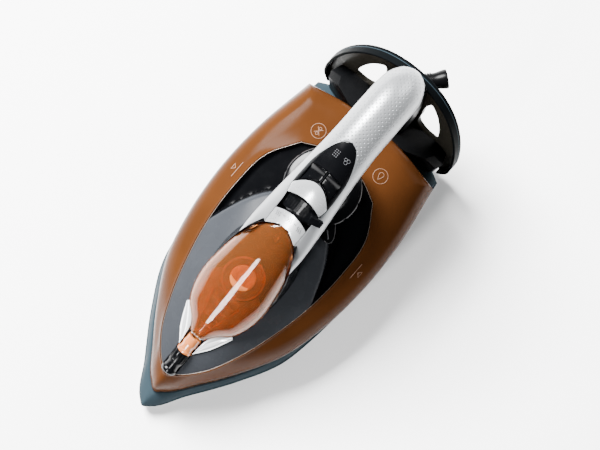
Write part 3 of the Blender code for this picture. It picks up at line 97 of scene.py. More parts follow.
# Outlines: a side from the tip to the rear corner, then the rear edge to the middle.
SKIRT_SIDE = [(0, 0, 8.5), (2.4, 3.8, 8.5), (24, 18.8, 8.5), (55, 39.2, 8.5), (82, 52.9, 8.5),
              (108, 58, 8.5), (150, 60.6, 8.5), (194, 60, 8.5), (243, 53, 8.5)]
SKIRT_REAR = [(243, 53, 8.5), (246.6, 46, 8.5), (247.4, 0, 8.5)]
TANK_FOOT_SIDE = [(13.5, 0, 21), (17, 5.2, 21), (36, 20.4, 21), (60, 36.6, 21), (86, 49.1, 21),
                  (110, 54.8, 21), (150, 57.6, 21), (192, 57, 21), (234, 51, 21)]
TANK_FOOT_REAR = [(234, 51, 21), (238, 26, 21), (239.5, 0, 21)]
TANK_BELT_SIDE = [(15.5, 0, 30), (19, 5, 30), (38, 20.3, 31), (62, 37, 33), (88, 51, 35),
                  (112, 57.5, 36), (150, 61.95, 37), (190, 60.9, 38), (234, 53.9, 38)]
TANK_BELT_REAR = [(234, 53.9, 38), (238.4, 27, 38), (240, 0, 38)]
SHOULDER_SIDE = [(21, 0, 40), (24.5, 5, 40.5), (43, 18.5, 43.5), (66, 33, 47), (91, 45.5, 50.5),
                 (115, 52.5, 52.5), (150, 57.6, 54.5), (189, 56.4, 56.5), (231, 49.2, 59)]
SHOULDER_REAR = [(231, 49.2, 59), (235.8, 25, 61.5), (237.4, 0, 62.5)]
DECK_SIDE = [(29, 0, 48), (32, 5, 48.7), (46, 18.3, 50.5), (68, 29.2, 54), (94, 37.5, 57.5),
             (118, 42.8, 60), (150, 45.2, 62.3), (178, 42.6, 63.6), (199, 30.5, 64.6)]
DECK_REAR = [(199, 30.5, 64.6), (206.3, 14.5, 65), (208, 0, 65.2)]

# Lid: distance behind the tip, half width, height of the rim, height of the ridge.
LID = [(60.9, 5.4, 63, 67.4), (68, 11.4, 62.2, 72.5), (75, 18.4, 64.2, 77.5), (83, 22.2, 66.6, 82.5),
       (97, 24.9, 73, 92), (111, 23.9, 80, 100), (126, 21, 90, 107.5), (135, 17.4, 98.5, 111),
       (142, 12.6, 105.5, 113), (147, 4, 111.5, 114)]

# Handle: distance behind the tip, half width, height of the seam, of the crown and of the underside.
HANDLE = [(124, 20.4, 96, 104, 78), (139, 21.2, 101, 111.5, 80), (151, 20.7, 105.5, 118.6, 84),
          (160, 20, 109.3, 124.5, 96), (169, 19.2, 113.5, 129.8, 104.5), (180, 18, 119, 136, 111.5),
          (192, 16.8, 124.5, 141.4, 114.6), (206, 15.8, 128, 145.4, 116), (222, 15.3, 129.5, 147.7, 116.3),
          (238, 15.2, 129.5, 147.9, 115.6), (252, 14.9, 128, 145.6, 112.5), (261, 13.6, 126, 141.6, 108),
          (267, 10.6, 124.5, 137, 104), (271, 6.6, 123.6, 131.5, 102), (272.5, 3, 123.4, 127.5, 101)]
OPENING = [(140, 12), (150, 12.3), (162, 12.3), (172, 14), (181, 13.7), (190, 12.9), (198, 10.7),
           (205, 7.6), (209.4, 4), (211, 0)]
SADDLE_FRONT = (167.6, 2, 11)
SADDLE_REAR = (179.3, 6.7, 12.6)
WINDOW_FRONT = (156.6, 2.2, 11)
RIDGE_BEHIND = 188.5

PILLAR_FOOT_SIDE = [(81, 0, 58), (86, 14, 58), (100, 25.5, 58), (116, 28.8, 58), (134, 27.5, 58),
                    (148, 20, 58)]
PILLAR_FOOT_REAR = [(148, 20, 58), (156, 9, 58), (157, 0, 58)]
PILLAR_HEAD_SIDE = [(85, 0, 112), (89, 12, 112), (101, 21, 112), (116, 20.8, 112), (134, 18, 112),
                    (145, 13, 112)]
PILLAR_HEAD_REAR = [(145, 13, 112), (150, 7, 112), (151, 0, 112)]

HEEL_ARCH = [(49, 11.5), (53.4, 20), (54.3, 30), (52.5, 48), (48.5, 65), (42, 82), (33, 97),
             (21, 108.5), (10, 113.5), (0, 115)]
HEEL_HOLE = [(34.6, 47), (33.4, 60), (30, 73), (24.6, 84.5), (19.2, 90.5), (17, 84), (17, 66),
             (18.4, 52), (26, 47)]
HEEL_SLOPE = 0.219
HEEL_FOOT = (253.5, 10)
SCREW_PLACES = {"heel_screw_left": (-30, 24), "heel_screw_right": (30, 24), "column_screw": (0, 64)}

COPPER = (0.038, 0.0128, 0.0036)
CLEAR_COPPER = (0.50, 0.17, 0.045)
SLATE = (0.0065, 0.0085, 0.011)
INK = (0.0012, 0.0013, 0.0016)
BLUE_GREY = (0.016, 0.025, 0.031)
SILVER = (0.21, 0.217, 0.224)
DECK_SLATE = (0.021, 0.0228, 0.026)
SMOKE = (0.0105, 0.0095, 0.0075)
DIMPLE_PITCH = 2.3 * MM


# Materials.

def node(tree, kind, inputs=None, **settings):
    made = tree.nodes.new(kind)
    for key, setting in settings.items():
        setattr(made, key, setting)
    for key, given in (inputs or {}).items():
        if isinstance(given, bpy.types.NodeSocket):
            tree.links.new(given, made.inputs[key])
        else:
            made.inputs[key].default_value = given
    return made


def spread(tree, given, low, high, to_low=0.0, to_high=1.0):
    """Maps a value from one range to another, held at both ends."""
    ends = {"Value": given, "From Min": low, "From Max": high, "To Min": to_low, "To Max": to_high}
    return node(tree, "ShaderNodeMapRange", ends).outputs["Result"]


def product(tree, first, second):
    return node(tree, "ShaderNodeMath", {0: first, 1: second}, operation="MULTIPLY").outputs[0]


def shades(color, contrast):
    return [tuple(min(part * factor, 1) for part in color) + (1,) for factor in (1 - contrast, 1 + contrast)]


def surface(name, color, roughness, metallic=0.0, coat=0.0, specular=0.5, transmission=0.0, ior=1.5,
            mottle=0.10, mottle_size=22 * MM, grain=0.0, grain_size=0.6 * MM, smear=0.05, stretch=(1, 1, 1)):
    """A moulded or machined surface: a mottled colour, uneven gloss and a fine grain."""
    made = bpy.data.materials.new(name)
    made.use_nodes = True
    tree = made.node_tree
    shader = tree.nodes["Principled BSDF"]
    coords = node(tree, "ShaderNodeTexCoord").outputs["Object"]
    placed = node(tree, "ShaderNodeMapping", {"Vector": coords, "Scale": stretch}).outputs["Vector"]
    cloud = node(tree, "ShaderNodeTexNoise", {"Vector": placed, "Scale": 1 / mottle_size, "Detail": 5.0})
    dark, light = shades(color, mottle)
    tint = node(tree, "ShaderNodeMix", {"Factor": cloud.outputs["Fac"]}, data_type="RGBA")
    tint.inputs[6].default_value = dark
    tint.inputs[7].default_value = light
    tree.links.new(tint.outputs[2], shader.inputs["Base Color"])
    smudge = node(tree, "ShaderNodeTexNoise", {"Vector": placed, "Scale": 3 / mottle_size, "Detail": 3.0})
    gloss = spread(tree, smudge.outputs["Fac"], 0.3, 0.7, max(roughness - smear, 0.02), roughness + smear)
    tree.links.new(gloss, shader.inputs["Roughness"])
    shader.inputs["Metallic"].default_value = metallic
    shader.inputs["Specular IOR Level"].default_value = specular
    shader.inputs["Coat Weight"].default_value = coat
    shader.inputs["Coat Roughness"].default_value = 0.04
    shader.inputs["Transmission Weight"].default_value = transmission
    shader.inputs["IOR"].default_value = ior
    if grain:
        fine = node(tree, "ShaderNodeTexNoise", {"Vector": placed, "Scale": 1 / grain_size, "Detail": 2.0})
        bump = node(tree, "ShaderNodeBump", {"Height": fine.outputs["Fac"], "Strength": grain,
                                             "Distance": 0.15 * MM})
        tree.links.new(bump.outputs["Normal"], shader.inputs["Normal"])
    return made


def dimpled_silver():
    """The handle's silver lacquer, with staggered rows of fine dimples over its top, each pit darkened with
    painted shade.
    """
    made = surface("dimpled_silver", SILVER, 0.34, metallic=0.5, coat=0.1, mottle=0.06)
    tree = made.node_tree
    shader = tree.nodes["Principled BSDF"]
    coords = node(tree, "ShaderNodeTexCoord").outputs["Object"]
    pitch = 1 / DIMPLE_PITCH
    turned_grid = node(tree, "ShaderNodeMapping", {"Vector": coords, "Rotation": (0, 0, math.radians(45)),
                                                   "Scale": (pitch, pitch, 0)})
    cells = node(tree, "ShaderNodeTexVoronoi", {"Vector": turned_grid.outputs["Vector"], "Scale": 1.0,
                                                "Randomness": 0.0}, voronoi_dimensions="2D")
    pit = spread(tree, cells.outputs["Distance"], 0.13, 0.24, 1.0, 0.0)
    place = node(tree, "ShaderNodeSeparateXYZ", {"Vector": coords})
    behind = spread(tree, place.outputs["X"], TIP_X - 204 * MM, TIP_X - 190 * MM, 1.0, 0.0)
    sideways = node(tree, "ShaderNodeMath", {0: place.outputs["Y"]}, operation="ABSOLUTE")
    inside = spread(tree, sideways.outputs[0], 10.5 * MM, 12.5 * MM, 1.0, 0.0)
    marked = product(tree, pit, product(tree, behind, inside))
    depth = node(tree, "ShaderNodeBump", {"Height": marked, "Strength": 0.9, "Distance": 0.35 * MM},
                 invert=True)
    tree.links.new(depth.outputs["Normal"], shader.inputs["Normal"])
    base = shader.inputs["Base Color"].links[0].from_socket
    # Painted shade: the lacquer is mixed towards dark grey inside each dimple.
    pit_shade = node(tree, "ShaderNodeMix", {"Factor": product(tree, marked, 0.45)}, data_type="RGBA")
    tree.links.new(base, pit_shade.inputs[6])
    pit_shade.inputs[7].default_value = (0.12, 0.13, 0.14, 1)
    tree.links.new(pit_shade.outputs[2], shader.inputs["Base Color"])
    return made


def dished_slate():
    """The deck's polished slate, black inside the dish round the dial."""
    made = surface("dished_slate", DECK_SLATE, 0.26, specular=0.03, mottle=0.2)
    tree = made.node_tree
    shader = tree.nodes["Principled BSDF"]
    coords = node(tree, "ShaderNodeTexCoord").outputs["Object"]
    place = node(tree, "ShaderNodeSeparateXYZ", {"Vector": coords})
    behind = node(tree, "ShaderNodeMath", {0: place.outputs["X"], 1: -1 / MM, 2: TIP_X / MM},
                  operation="MULTIPLY_ADD")
    side = node(tree, "ShaderNodeMath", {0: place.outputs["Y"]}, operation="ABSOLUTE")
    share = product(tree, side.outputs[0], 1 / (DISH_HALF_WIDTH * MM))
    bow = node(tree, "ShaderNodeMath", {0: share, 1: 3.0}, operation="POWER")
    past = node(tree, "ShaderNodeMath", {0: bow.outputs[0], 1: DISH_BOW, 2: behind.outputs[0]},
                operation="MULTIPLY_ADD")
    inside = spread(tree, past.outputs[0], DISH_FRONT + 1, DISH_FRONT + 3)
    base = shader.inputs["Base Color"].links[0].from_socket
    both = node(tree, "ShaderNodeMix", {"Factor": inside}, data_type="RGBA")
    tree.links.new(base, both.inputs[6])
    both.inputs[7].default_value = INK + (1,)
    tree.links.new(both.outputs[2], shader.inputs["Base Color"])
    return made


def ground_steel():
    """The soleplate's ground steel, with fine marks along its length."""
    return surface("ground_steel", (0.60, 0.61, 0.62), 0.24, metallic=1.0, mottle=0.06, mottle_size=5 * MM,
                   grain=0.35, grain_size=0.25 * MM, stretch=(0.06, 1, 1))


MATERIALS = {
    "copper": surface("copper_tank", COPPER, 0.22, specular=0.012, mottle=0.25, mottle_size=34 * MM,
                      grain=0.05, grain_size=3 * MM),
    "clear_copper": surface("clear_copper", CLEAR_COPPER, 0.06, specular=0.22, transmission=0.92, ior=1.35,
                            mottle=0.12, smear=0.03, grain=0.05, grain_size=4 * MM),
    "amber": surface("amber_fittings", (0.42, 0.13, 0.035), 0.16, coat=0.5, transmission=0.25, mottle=0.35,
                     mottle_size=4 * MM, grain=0.4, grain_size=1.6 * MM),
    "pale_amber": surface("pale_amber", (0.95, 0.62, 0.42), 0.35, coat=0.3, mottle=0.15, mottle_size=3 * MM,
                          grain=0.3, grain_size=1.2 * MM),
    # Amber whose strong mottle is partly painted highlights: its pale patches stand in for glints seen
    # through the lid.
    "amber_painted_glints": surface("amber_painted_glints", (0.20, 0.085, 0.032), 0.22, coat=0.3, mottle=0.9,
                             mottle_size=6 * MM, grain=0.7, grain_size=2.4 * MM),
    "deck": dished_slate(),
    "slate": surface("slate_plastic", SLATE, 0.25, specular=0.08),
    "ink": surface("black_gloss", INK, 0.20, specular=0.12, mottle=0.2),
    "matte": surface("black_grained", (0.0014, 0.0015, 0.0017), 0.42, specular=0.03, mottle=0.2, grain=0.35,
                     grain_size=0.5 * MM),
    "blue_grey": surface("blue_grey_plastic", BLUE_GREY, 0.32, specular=0.006, mottle=0.12),
    "rim": surface("dark_rim", (0.0018, 0.0022, 0.0025), 0.30, specular=0.002, mottle=0.15),
    "smoke": surface("smoky_plastic", SMOKE, 0.32, specular=0.02, mottle=0.3, mottle_size=14 * MM),
    "silver": surface("silver_lacquer", (0.40, 0.41, 0.42), 0.26, metallic=0.55, coat=0.3, mottle=0.05),
    "dimpled": dimpled_silver(),
    "chrome": surface("bright_chrome", (0.80, 0.81, 0.82), 0.16, metallic=0.6, coat=0.4, mottle=0.03,
                      smear=0.03),
    # Painted highlight: a pale stroke standing in for light caught on the deck's edge.
    "line": surface("painted_edge_highlight", (0.10, 0.075, 0.06), 0.3, metallic=0.4, mottle=0.05),
    "steel": ground_steel(),
    "aluminium": surface("cast_aluminium", (0.50, 0.51, 0.52), 0.45, metallic=1.0, grain=0.5,
                         grain_size=0.9 * MM),
    "brass": surface("turned_brass", (0.70, 0.50, 0.22), 0.25, metallic=1.0),
    "ceramic": surface("white_ceramic", (0.60, 0.58, 0.54), 0.35, coat=0.3, mottle=0.05),
    "rubber": surface("moulded_rubber", (0.0012, 0.0012, 0.0014), 0.30, specular=0.06, mottle=0.25,
                      grain=0.15),
    "white": surface("white_plastic", (0.60, 0.60, 0.58), 0.40, mottle=0.04),
    "pale_print": surface("pale_print", (0.17, 0.085, 0.05), 0.5, mottle=0.05),
    "grey_print": surface("grey_print", (0.05, 0.052, 0.056), 0.5, mottle=0.05),
    "dark_print": surface("dark_print", (0.03, 0.033, 0.036), 0.5, mottle=0.05),
}
NODE_MATERIALS = {"steel": "heating_element steam_chamber_cover drip_valve_rod thermostat_spindle lid_pin",
                  "aluminium": "heater_casting", "brass": "nozzle_tip drip_valve_seat",
                  "ceramic": "post_front post_left post_right thermostat thermal_fuse",
                  "white": "spray_pump steam_pump terminal_block", "slate": "tank_floor spindle_sleeve",
                  "ink": "lever_track"}


# Curves and outlines.

def at(behind, side, height):
    return Vector((TIP_X - behind * MM, side * MM, height * MM))


def spline(points, spans, mirror_ends=False):
    """Points on a smooth curve through the given ones; mirror_ends crosses the middle plane squarely."""
    points = [Vector(point) for point in points]
    flip = Vector([-1 if axis == 1 else 1 for axis in range(len(points[0]))])
    before = points[1] * flip if mirror_ends and points[0][1] == 0 else None
    after = points[-2] * flip if mirror_ends and points[-1][1] == 0 else None
    steps = [(b - a).length for a, b in zip(points, points[1:])]
    rates = [(b - a) / step for a, b, step in zip(points, points[1:], steps)]
    tangents = []
    for index in range(len(points)):
        if 0 < index < len(points) - 1:
            near, far = steps[index - 1], steps[index]
            tangents.append((rates[index - 1] * far + rates[index] * near) / (near + far))
        elif index == 0:
            tangents.append((points[1] - before) / (2 * steps[0]) if before else rates[0])
        else:
            tangents.append((after - points[-2]) / (2 * steps[-1]) if after else rates[-1])
    curve = []
    for index, step in enumerate(steps):
        for count in range(spans):
            t = count / spans
            a, b = points[index], points[index + 1]
            start, end = tangents[index] * step, tangents[index + 1] * step
            curve.append(a * (2 * t**3 - 3 * t**2 + 1) + start * (t**3 - 2 * t**2 + t)
                         + b * (3 * t**2 - 2 * t**3) + end * (t**3 - t**2))
    return curve + [points[-1]]


def value(table, behind, column=1):
    """Reads a column of a table of rows at one distance behind the tip, along a smooth curve."""
    if behind <= table[0][0]:
        return table[0][column]
    if behind >= table[-1][0]:
        return table[-1][column]
    index = max(i for i, row in enumerate(table[:-1]) if row[0] <= behind)
    slopes = [(b[column] - a[column]) / (b[0] - a[0]) for a, b in zip(table, table[1:])]

    def tangent(i):
        if i == 0 or i == len(table) - 1:
            return slopes[min(i, len(slopes) - 1)]
        near, far = table[i][0] - table[i - 1][0], table[i + 1][0] - table[i][0]
        return (slopes[i - 1] * far + slopes[i] * near) / (near + far)

    a, b = table[index], table[index + 1]
    step = b[0] - a[0]
    t = (behind - a[0]) / step
    return (a[column] * (2 * t**3 - 3 * t**2 + 1) + tangent(index) * step * (t**3 - 2 * t**2 + t)
            + b[column] * (3 * t**2 - 2 * t**3) + tangent(index + 1) * step * (t**3 - t**2))


def smooth_step(share):
    t = min(max(share, 0.0), 1.0)
    return t * t * (3 - 2 * t)


def ring(side, rear, spans=SPANS):
    """The whole outline in the row frame, from the front middle round the +Y side."""
    half = spline(side, spans, True)[:-1] + spline(rear, spans, True)
    other = [Vector((u, -y, z)) for u, y, z in reversed(half[1:-1])]
    return [at(*point) for point in half + other]


def inset(points, distance, drop=0.0):
    """Moves an outline inwards in plan by a distance, and down by a drop."""
    moved = []
    count = len(points)
    for index, point in enumerate(points):
        into = (point - points[index - 1]).to_2d()
        out = (points[(index + 1) % count] - point).to_2d()
        normals = [Vector((-edge.y, edge.x)).normalized() for edge in (into, out)]
        mean = (normals[0] + normals[1]).normalized()
        reach = distance / max(mean.dot(normals[0]), 0.5)
        moved.append(Vector((point.x + mean.x * reach, point.y + mean.y * reach, point.z - drop)))
    return moved


def level(points, height):
    return [Vector((point.x, point.y, height)) for point in points]


def between(rings, spans):
    """More rings on smooth curves through the given ones."""
    paths = [spline(points, spans) for points in zip(*rings)]
    return [list(points) for points in zip(*paths)]


# Mesh helpers.

def new_object(name, bm, smooth=35):
    bmesh.ops.recalc_face_normals(bm, faces=bm.faces)
    mesh = bpy.data.meshes.new(name)
    bm.to_mesh(mesh)
    bm.free()
    mesh.shade_smooth()
    mesh.set_sharp_from_angle(angle=math.radians(smooth))
    obj = bpy.data.objects.new(name, mesh)
    bpy.context.scene.collection.objects.link(obj)
    return obj


def apply_modifiers(obj):
    bpy.context.view_layer.update()
    graph = bpy.context.evaluated_depsgraph_get()
    mesh = bpy.data.meshes.new_from_object(obj.evaluated_get(graph))
    obj.modifiers.clear()
    obj.data = mesh
    return obj


def combine(obj, operation, *others):
    """Cuts, joins or keeps with each of the others, which are removed."""
    for other in others:
        modifier = obj.modifiers.new(other.name, "BOOLEAN")
        modifier.operation = operation
        modifier.object = other
    apply_modifiers(obj)
    for other in others:
        bpy.data.objects.remove(other, do_unlink=True)
    return obj


def soften(obj, width, segments=2, angle=38):
    """Rounds the sharp edges."""
    bevel = obj.modifiers.new("round", "BEVEL")
    bevel.width = width
    bevel.segments = segments
    bevel.limit_method = "ANGLE"
    bevel.angle_limit = math.radians(angle)
    bevel.harden_normals = False
    bevel.use_clamp_overlap = True
    apply_modifiers(obj)
    obj.data.shade_smooth()
    obj.data.set_sharp_from_angle(angle=math.radians(50))
    return obj


def piece(obj, material, body, *nodes):
    obj.data.materials.clear()
    obj.data.materials.append(MATERIALS[material])
    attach(obj, body)
    if nodes:
        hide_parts(*nodes)
    return obj


def loft(name, rings, closed=False):
    bm = bmesh.new()
    rows = [[bm.verts.new(point) for point in points] for points in rings]
    pairs = list(zip(rows, rows[1:]))
    if closed:
        pairs.append((rows[-1], rows[0]))
    else:
        bm.faces.new(rows[0])
        bm.faces.new(rows[-1])
    for low, high in pairs:
        for index in range(len(low)):
            bm.faces.new((low[index - 1], low[index], high[index], high[index - 1]))
    return new_object(name, bm)


def slab(name, half, height_at, thickness, columns=24, below=None):
    """A shell over a half outline given as (behind, half width), following a height."""
    bm = bmesh.new()
    front = bm.verts.new(at(half[0][0], 0, height_at(half[0][0], 0)))
    rear = bm.verts.new(at(half[-1][0], 0, height_at(half[-1][0], 0)))
    rows = []
    for behind, reach in [point[:2] for point in half[1:-1]]:
        sides = [reach * math.sin(math.pi / 2 * (2 * column / columns - 1)) for column in range(columns + 1)]
        rows.append([bm.verts.new(at(behind, side, height_at(behind, side))) for side in sides])
    for index in range(columns):
        bm.faces.new((front, rows[0][index], rows[0][index + 1]))
        bm.faces.new((rear, rows[-1][index + 1], rows[-1][index]))
    for near, far in zip(rows, rows[1:]):
        for index in range(columns):
            bm.faces.new((near[index], far[index], far[index + 1], near[index + 1]))
    made = bmesh.ops.extrude_face_region(bm, geom=bm.faces[:])
    fresh = [item for item in made["geom"] if isinstance(item, bmesh.types.BMVert)]
    bmesh.ops.translate(bm, verts=fresh, vec=(0, 0, -thickness))
    return new_object(name, bm)


def prism(name, points, low, high, turn=None):
    bm = bmesh.new()
    face = bm.faces.new([bm.verts.new((point[0], point[1], low)) for point in points])
    made = bmesh.ops.extrude_face_region(bm, geom=[face])
    fresh = [item for item in made["geom"] if isinstance(item, bmesh.types.BMVert)]
    bmesh.ops.translate(bm, verts=fresh, vec=(0, 0, high - low))
    if turn:
        bmesh.ops.transform(bm, matrix=turn, verts=bm.verts)
    return new_object(name, bm)


def turned(name, center, profile, axis=Vector((0, 0, 1)), sides=64):
    """A closed profile of (radius, height) points spun about an axis."""
    bm = bmesh.new()
    corners = [bm.verts.new((radius, 0, height)) for radius, height in profile]
    edges = [bm.edges.new((corners[index - 1], corners[index])) for index in range(len(corners))]
    bmesh.ops.spin(bm, geom=edges + corners, cent=(0, 0, 0), axis=(0, 0, 1), angle=math.tau, steps=sides)
    bmesh.ops.remove_doubles(bm, verts=bm.verts, dist=1e-6)
    turn = Vector((0, 0, 1)).rotation_difference(axis).to_matrix().to_4x4()
    bmesh.ops.transform(bm, matrix=Matrix.Translation(center) @ turn, verts=bm.verts)
    return new_object(name, bm)


def rod(name, center, radius, length, axis=Vector((0, 0, 1)), sides=48):
    return turned(name, center, [(0, 0), (radius, 0), (radius, length), (0, length)], axis, sides)


def wire(name, lines, radius):
    """Fine round strokes along lines of points in the row frame."""
    curve = bpy.data.curves.new(name, "CURVE")
    curve.dimensions = "3D"
    curve.bevel_depth = radius
    curve.bevel_resolution = 2
    curve.use_fill_caps = True
    for line in lines:
        path = curve.splines.new("POLY")
        path.points.add(len(line) - 1)
        for spot, point in zip(path.points, line):
            spot.co = (*point, 1)
    guide = bpy.data.objects.new(name + "_path", curve)
    bpy.context.scene.collection.objects.link(guide)
    bpy.context.view_layer.update()
    graph = bpy.context.evaluated_depsgraph_get()
    mesh = bpy.data.meshes.new_from_object(guide.evaluated_get(graph))
    bpy.data.objects.remove(guide, do_unlink=True)
    mesh.shade_smooth()
    obj = bpy.data.objects.new(name, mesh)
    bpy.context.scene.collection.objects.link(obj)
    return obj


def on_top(obj, point, lift=0.05 * MM):
    """Drops a point given as (behind, side) onto an object from above."""
    start = at(point[0], point[1], 200)
    hit, place, _, _ = obj.ray_cast(start, Vector((0, 0, -1)))
    return place + Vector((0, 0, lift)) if hit else start


# Body.

def make_soleplate():
    outline = inset(ring(SKIRT_SIDE, SKIRT_REAR), 1.4 * MM)
    plate = prism("sole", [point.to_2d() for point in outline], 0, 3.4 * MM)
    cutters = []
    for row in range(7):
        behind = 30 + 18 * row
        side = value([point[:2] for point in SKIRT_SIDE], behind) - 9
        for sign in (-1, 1):
            spot = at(behind, sign * side, -2)
            cutters.append(rod(f"hole_{row}_{sign}", spot, 1.6 * MM, 12 * MM, sides=24))
    combine(plate, "DIFFERENCE", *cutters)
    piece(soften(plate, 0.7 * MM, 3), "steel", "iron", "soleplate")


def make_skirt():
    rim = ring(SKIRT_SIDE, SKIRT_REAR)
    seat = ring(TANK_FOOT_SIDE, TANK_FOOT_REAR)
    rings = [
        level(inset(rim, 1 * MM), 3.7 * MM),
        level(inset(rim, 0.25 * MM), 6.0 * MM),
        level(rim, 8.2 * MM),
        level(inset(rim, 0.3 * MM), 8.9 * MM),
        level(inset(rim, 1.8 * MM), 9.3 * MM),
        level(inset(rim, 1.9 * MM), 11.2 * MM),
        level(inset(rim, 0.9 * MM), 11.7 * MM),
        level(inset(rim, 0.7 * MM), 12.3 * MM),
        level(inset(rim, 1.2 * MM), 13.2 * MM),
    ]
    shelf = level(inset(seat, -1.1 * MM), 20.5 * MM)
    for step in range(1, 6):
        share = step / 6
        bulge = 0.5 * MM * math.sin(math.pi * share)
        rings.append([low.lerp(high, share) + Vector((0, 0, bulge)) for low, high in zip(rings[8], shelf)])
    rings += [shelf, level(inset(seat, 5 * MM), 20.5 * MM), level(inset(seat, 5 * MM), 18.5 * MM),
              level(inset(rim, 4.4 * MM), 11.2 * MM), level(inset(rim, 4.4 * MM), 3.7 * MM)]
    piece(loft("skirt_shell", rings, closed=True), "blue_grey", "iron", "skirt")


def tank_rings(offset, spans):
    base = [inset(ring(TANK_FOOT_SIDE, TANK_FOOT_REAR), offset),
            inset(ring(TANK_BELT_SIDE, TANK_BELT_REAR), offset),
            inset(ring(SHOULDER_SIDE, SHOULDER_REAR), offset * 0.8, offset * 0.8),
            inset(ring(DECK_SIDE, DECK_REAR), 0, offset)]
    return between(base, spans)


def make_tank():
    outer, inner = tank_rings(0, 6), tank_rings(2.2 * MM, 3)
    lip = [inset(outer[-1], -0.7 * MM, -0.25 * MM), inset(outer[-1], 0, 0.2 * MM)]
    tank = loft("tank", outer[:-1] + lip + inner[::-1], closed=True)
    return piece(tank, "copper", "iron", "tank_shell")


def deck_edge(behind, column):
    return value(DECK_SIDE + DECK_REAR[1:], behind, column)


def dish_share(behind, side):
    dish_front = DISH_FRONT - DISH_BOW * (abs(side) / DISH_HALF_WIDTH) ** 3
    return smooth_step((behind - dish_front) / 7)


def deck_height(behind, side):
    """The deck rises to a crown, and behind the pillar it falls into a dish round the dial."""
    edge = deck_edge(behind, 2)
    half_width = max(deck_edge(behind, 1), 0.5)
    across = min(abs(side) / half_width, 1)
    front, rear = DECK_SIDE[0][0], DECK_REAR[-1][0]
    crown = 18 * math.sin(math.pi * min(max((behind - front) / (rear - front), 0), 1))
    dish = dish_share(behind, side)
    lip = smooth_step((half_width - abs(side)) / 4)
    return edge + crown * (1 - across**2) * (1 - dish) - 3 * dish * lip


def deck_half(offset, spans=SPANS):
    points = inset(ring(DECK_SIDE, DECK_REAR, spans), offset)
    half = points[: len(points) // 2 + 1]
    return [((TIP_X - point.x) / MM, point.y / MM) for point in half]


def nozzle_axis():
    return Vector((-math.cos(NOZZLE_SLOPE), 0, math.sin(NOZZLE_SLOPE)))


def nozzle_point(behind):
    start = at(31, 0, 50.2)
    return start + nozzle_axis() * ((behind - 31) * MM / math.cos(NOZZLE_SLOPE))


def make_deck():
    deck = slab("deck_shell", deck_half(GAP, 16), deck_height, 2.4 * MM, columns=64)
    start = nozzle_point(31) - nozzle_axis() * 6 * MM
    bed = rod("bed", start, 5.9 * MM, 38 * MM, nozzle_axis())
    funnel = rod("funnel_way", at(FILLER_BEHIND, 0, 45), 8.3 * MM, 50 * MM)
    spindle = rod("spindle_way", at(DIAL_BEHIND, 0, 45), 3.55 * MM, 40 * MM)
    valve = rod("valve_way", at(VALVE_BEHIND, 0, 45), 2.25 * MM, 50 * MM)
    combine(deck, "DIFFERENCE", bed, funnel, spindle, valve)
    piece(deck, "deck", "iron", "deck")
    # A pale stroke along the deck's edge: a painted highlight where the lip catches the light.
    edge = [point + Vector((0, 0, 0.25 * MM)) for point in inset(ring(DECK_SIDE, DECK_REAR), 0.1 * MM)]
    piece(wire("deck_edge_highlight", [edge + edge[:1]], 0.22 * MM), "line", "iron")


def make_trims():
    """Two bright trims in a V, each with two ridges along it."""
    outer_edge = spline([(49.4, 5.6), (60.5, 13.3), (73.6, 19.4)], 8)
    inner_edge = spline([(55.0, 5.9), (63.5, 7.3), (71.6, 12.9), (75.2, 18.2)], 6)
    inner_edge = [inner_edge[round(step * (len(inner_edge) - 1) / 16)] for step in range(17)]
    for name, sign in (("trim_left", -1), ("trim_right", 1)):
        bm = bmesh.new()
        rows = []
        for outer, inner in zip(outer_edge, inner_edge):
            row = []
            for step in range(13):
                share = step / 12
                spot = outer.lerp(inner, share)
                ridge = 0.75 * abs(math.sin(2 * math.pi * share)) ** 0.7
                slope = 1.0 + 0.9 * share
                height = deck_height(spot.x, spot.y) + slope + ridge
                row.append(bm.verts.new(at(spot.x, sign * spot.y, height)))
            rows.append(row)
        for near, far in zip(rows, rows[1:]):
            for step in range(12):
                bm.faces.new((near[step], far[step], far[step + 1], near[step + 1]))
        made = bmesh.ops.extrude_face_region(bm, geom=bm.faces[:])
        fresh = [item for item in made["geom"] if isinstance(item, bmesh.types.BMVert)]
        for vert in fresh:
            behind, side = (TIP_X - vert.co.x) / MM, vert.co.y / MM
            vert.co.z = (deck_height(behind, side) + 0.35) * MM
        piece(new_object(name + "_bright", bm), "chrome", "iron", name)


def make_nozzle():
    axis = nozzle_axis()
    front, middle, rear = (nozzle_point(u) for u in (31, 48, 59.8))
    length = (middle - front).length - GAP
    radius = 5.6 * MM
    waist = radius * 0.87
    profile = [(1.6 * MM, 0.6 * MM), (2.2 * MM, 0), (radius * 0.74, 0), (radius * 0.9, 0.5 * MM),
               (radius, 1.6 * MM), (radius, 3.2 * MM), (waist, 4.2 * MM), (waist, length * 0.46),
               (radius * 0.97, length * 0.54), (radius, length * 0.6), (radius, length - 0.8 * MM),
               (radius * 0.94, length), (1.6 * MM, length)]
    body = turned("nozzle_shell", front, profile, axis)
    grooves = []
    for step in range(10):
        angle = math.tau * step / 10
        above = Vector((math.sin(NOZZLE_SLOPE), 0, math.cos(NOZZLE_SLOPE)))
        side = Vector((0, math.cos(angle), 0)) + above * math.sin(angle)
        foot = middle + side * (radius + 0.35 * MM) - axis * length * 0.38
        grooves.append(rod(f"flute_{step}", foot, 0.8 * MM, 9 * MM, axis, 12))
    combine(body, "DIFFERENCE", *grooves)
    piece(body, "ink", "iron", "nozzle_body")
    reach = (rear - middle).length
    barrel = [(3 * MM, 0), (5.0 * MM, 0), (5.4 * MM, 0.5 * MM), (5.4 * MM, 1.7 * MM), (4.8 * MM, 2.4 * MM),
              (4.7 * MM, reach * 0.42), (5.1 * MM, reach * 0.5), (5.1 * MM, reach * 0.62),
              (4.8 * MM, reach * 0.7), (4.8 * MM, reach), (3 * MM, reach)]
    piece(turned("barrel", middle, barrel, axis), "amber", "iron", "nozzle_barrel")


# Lid and what shows through it.

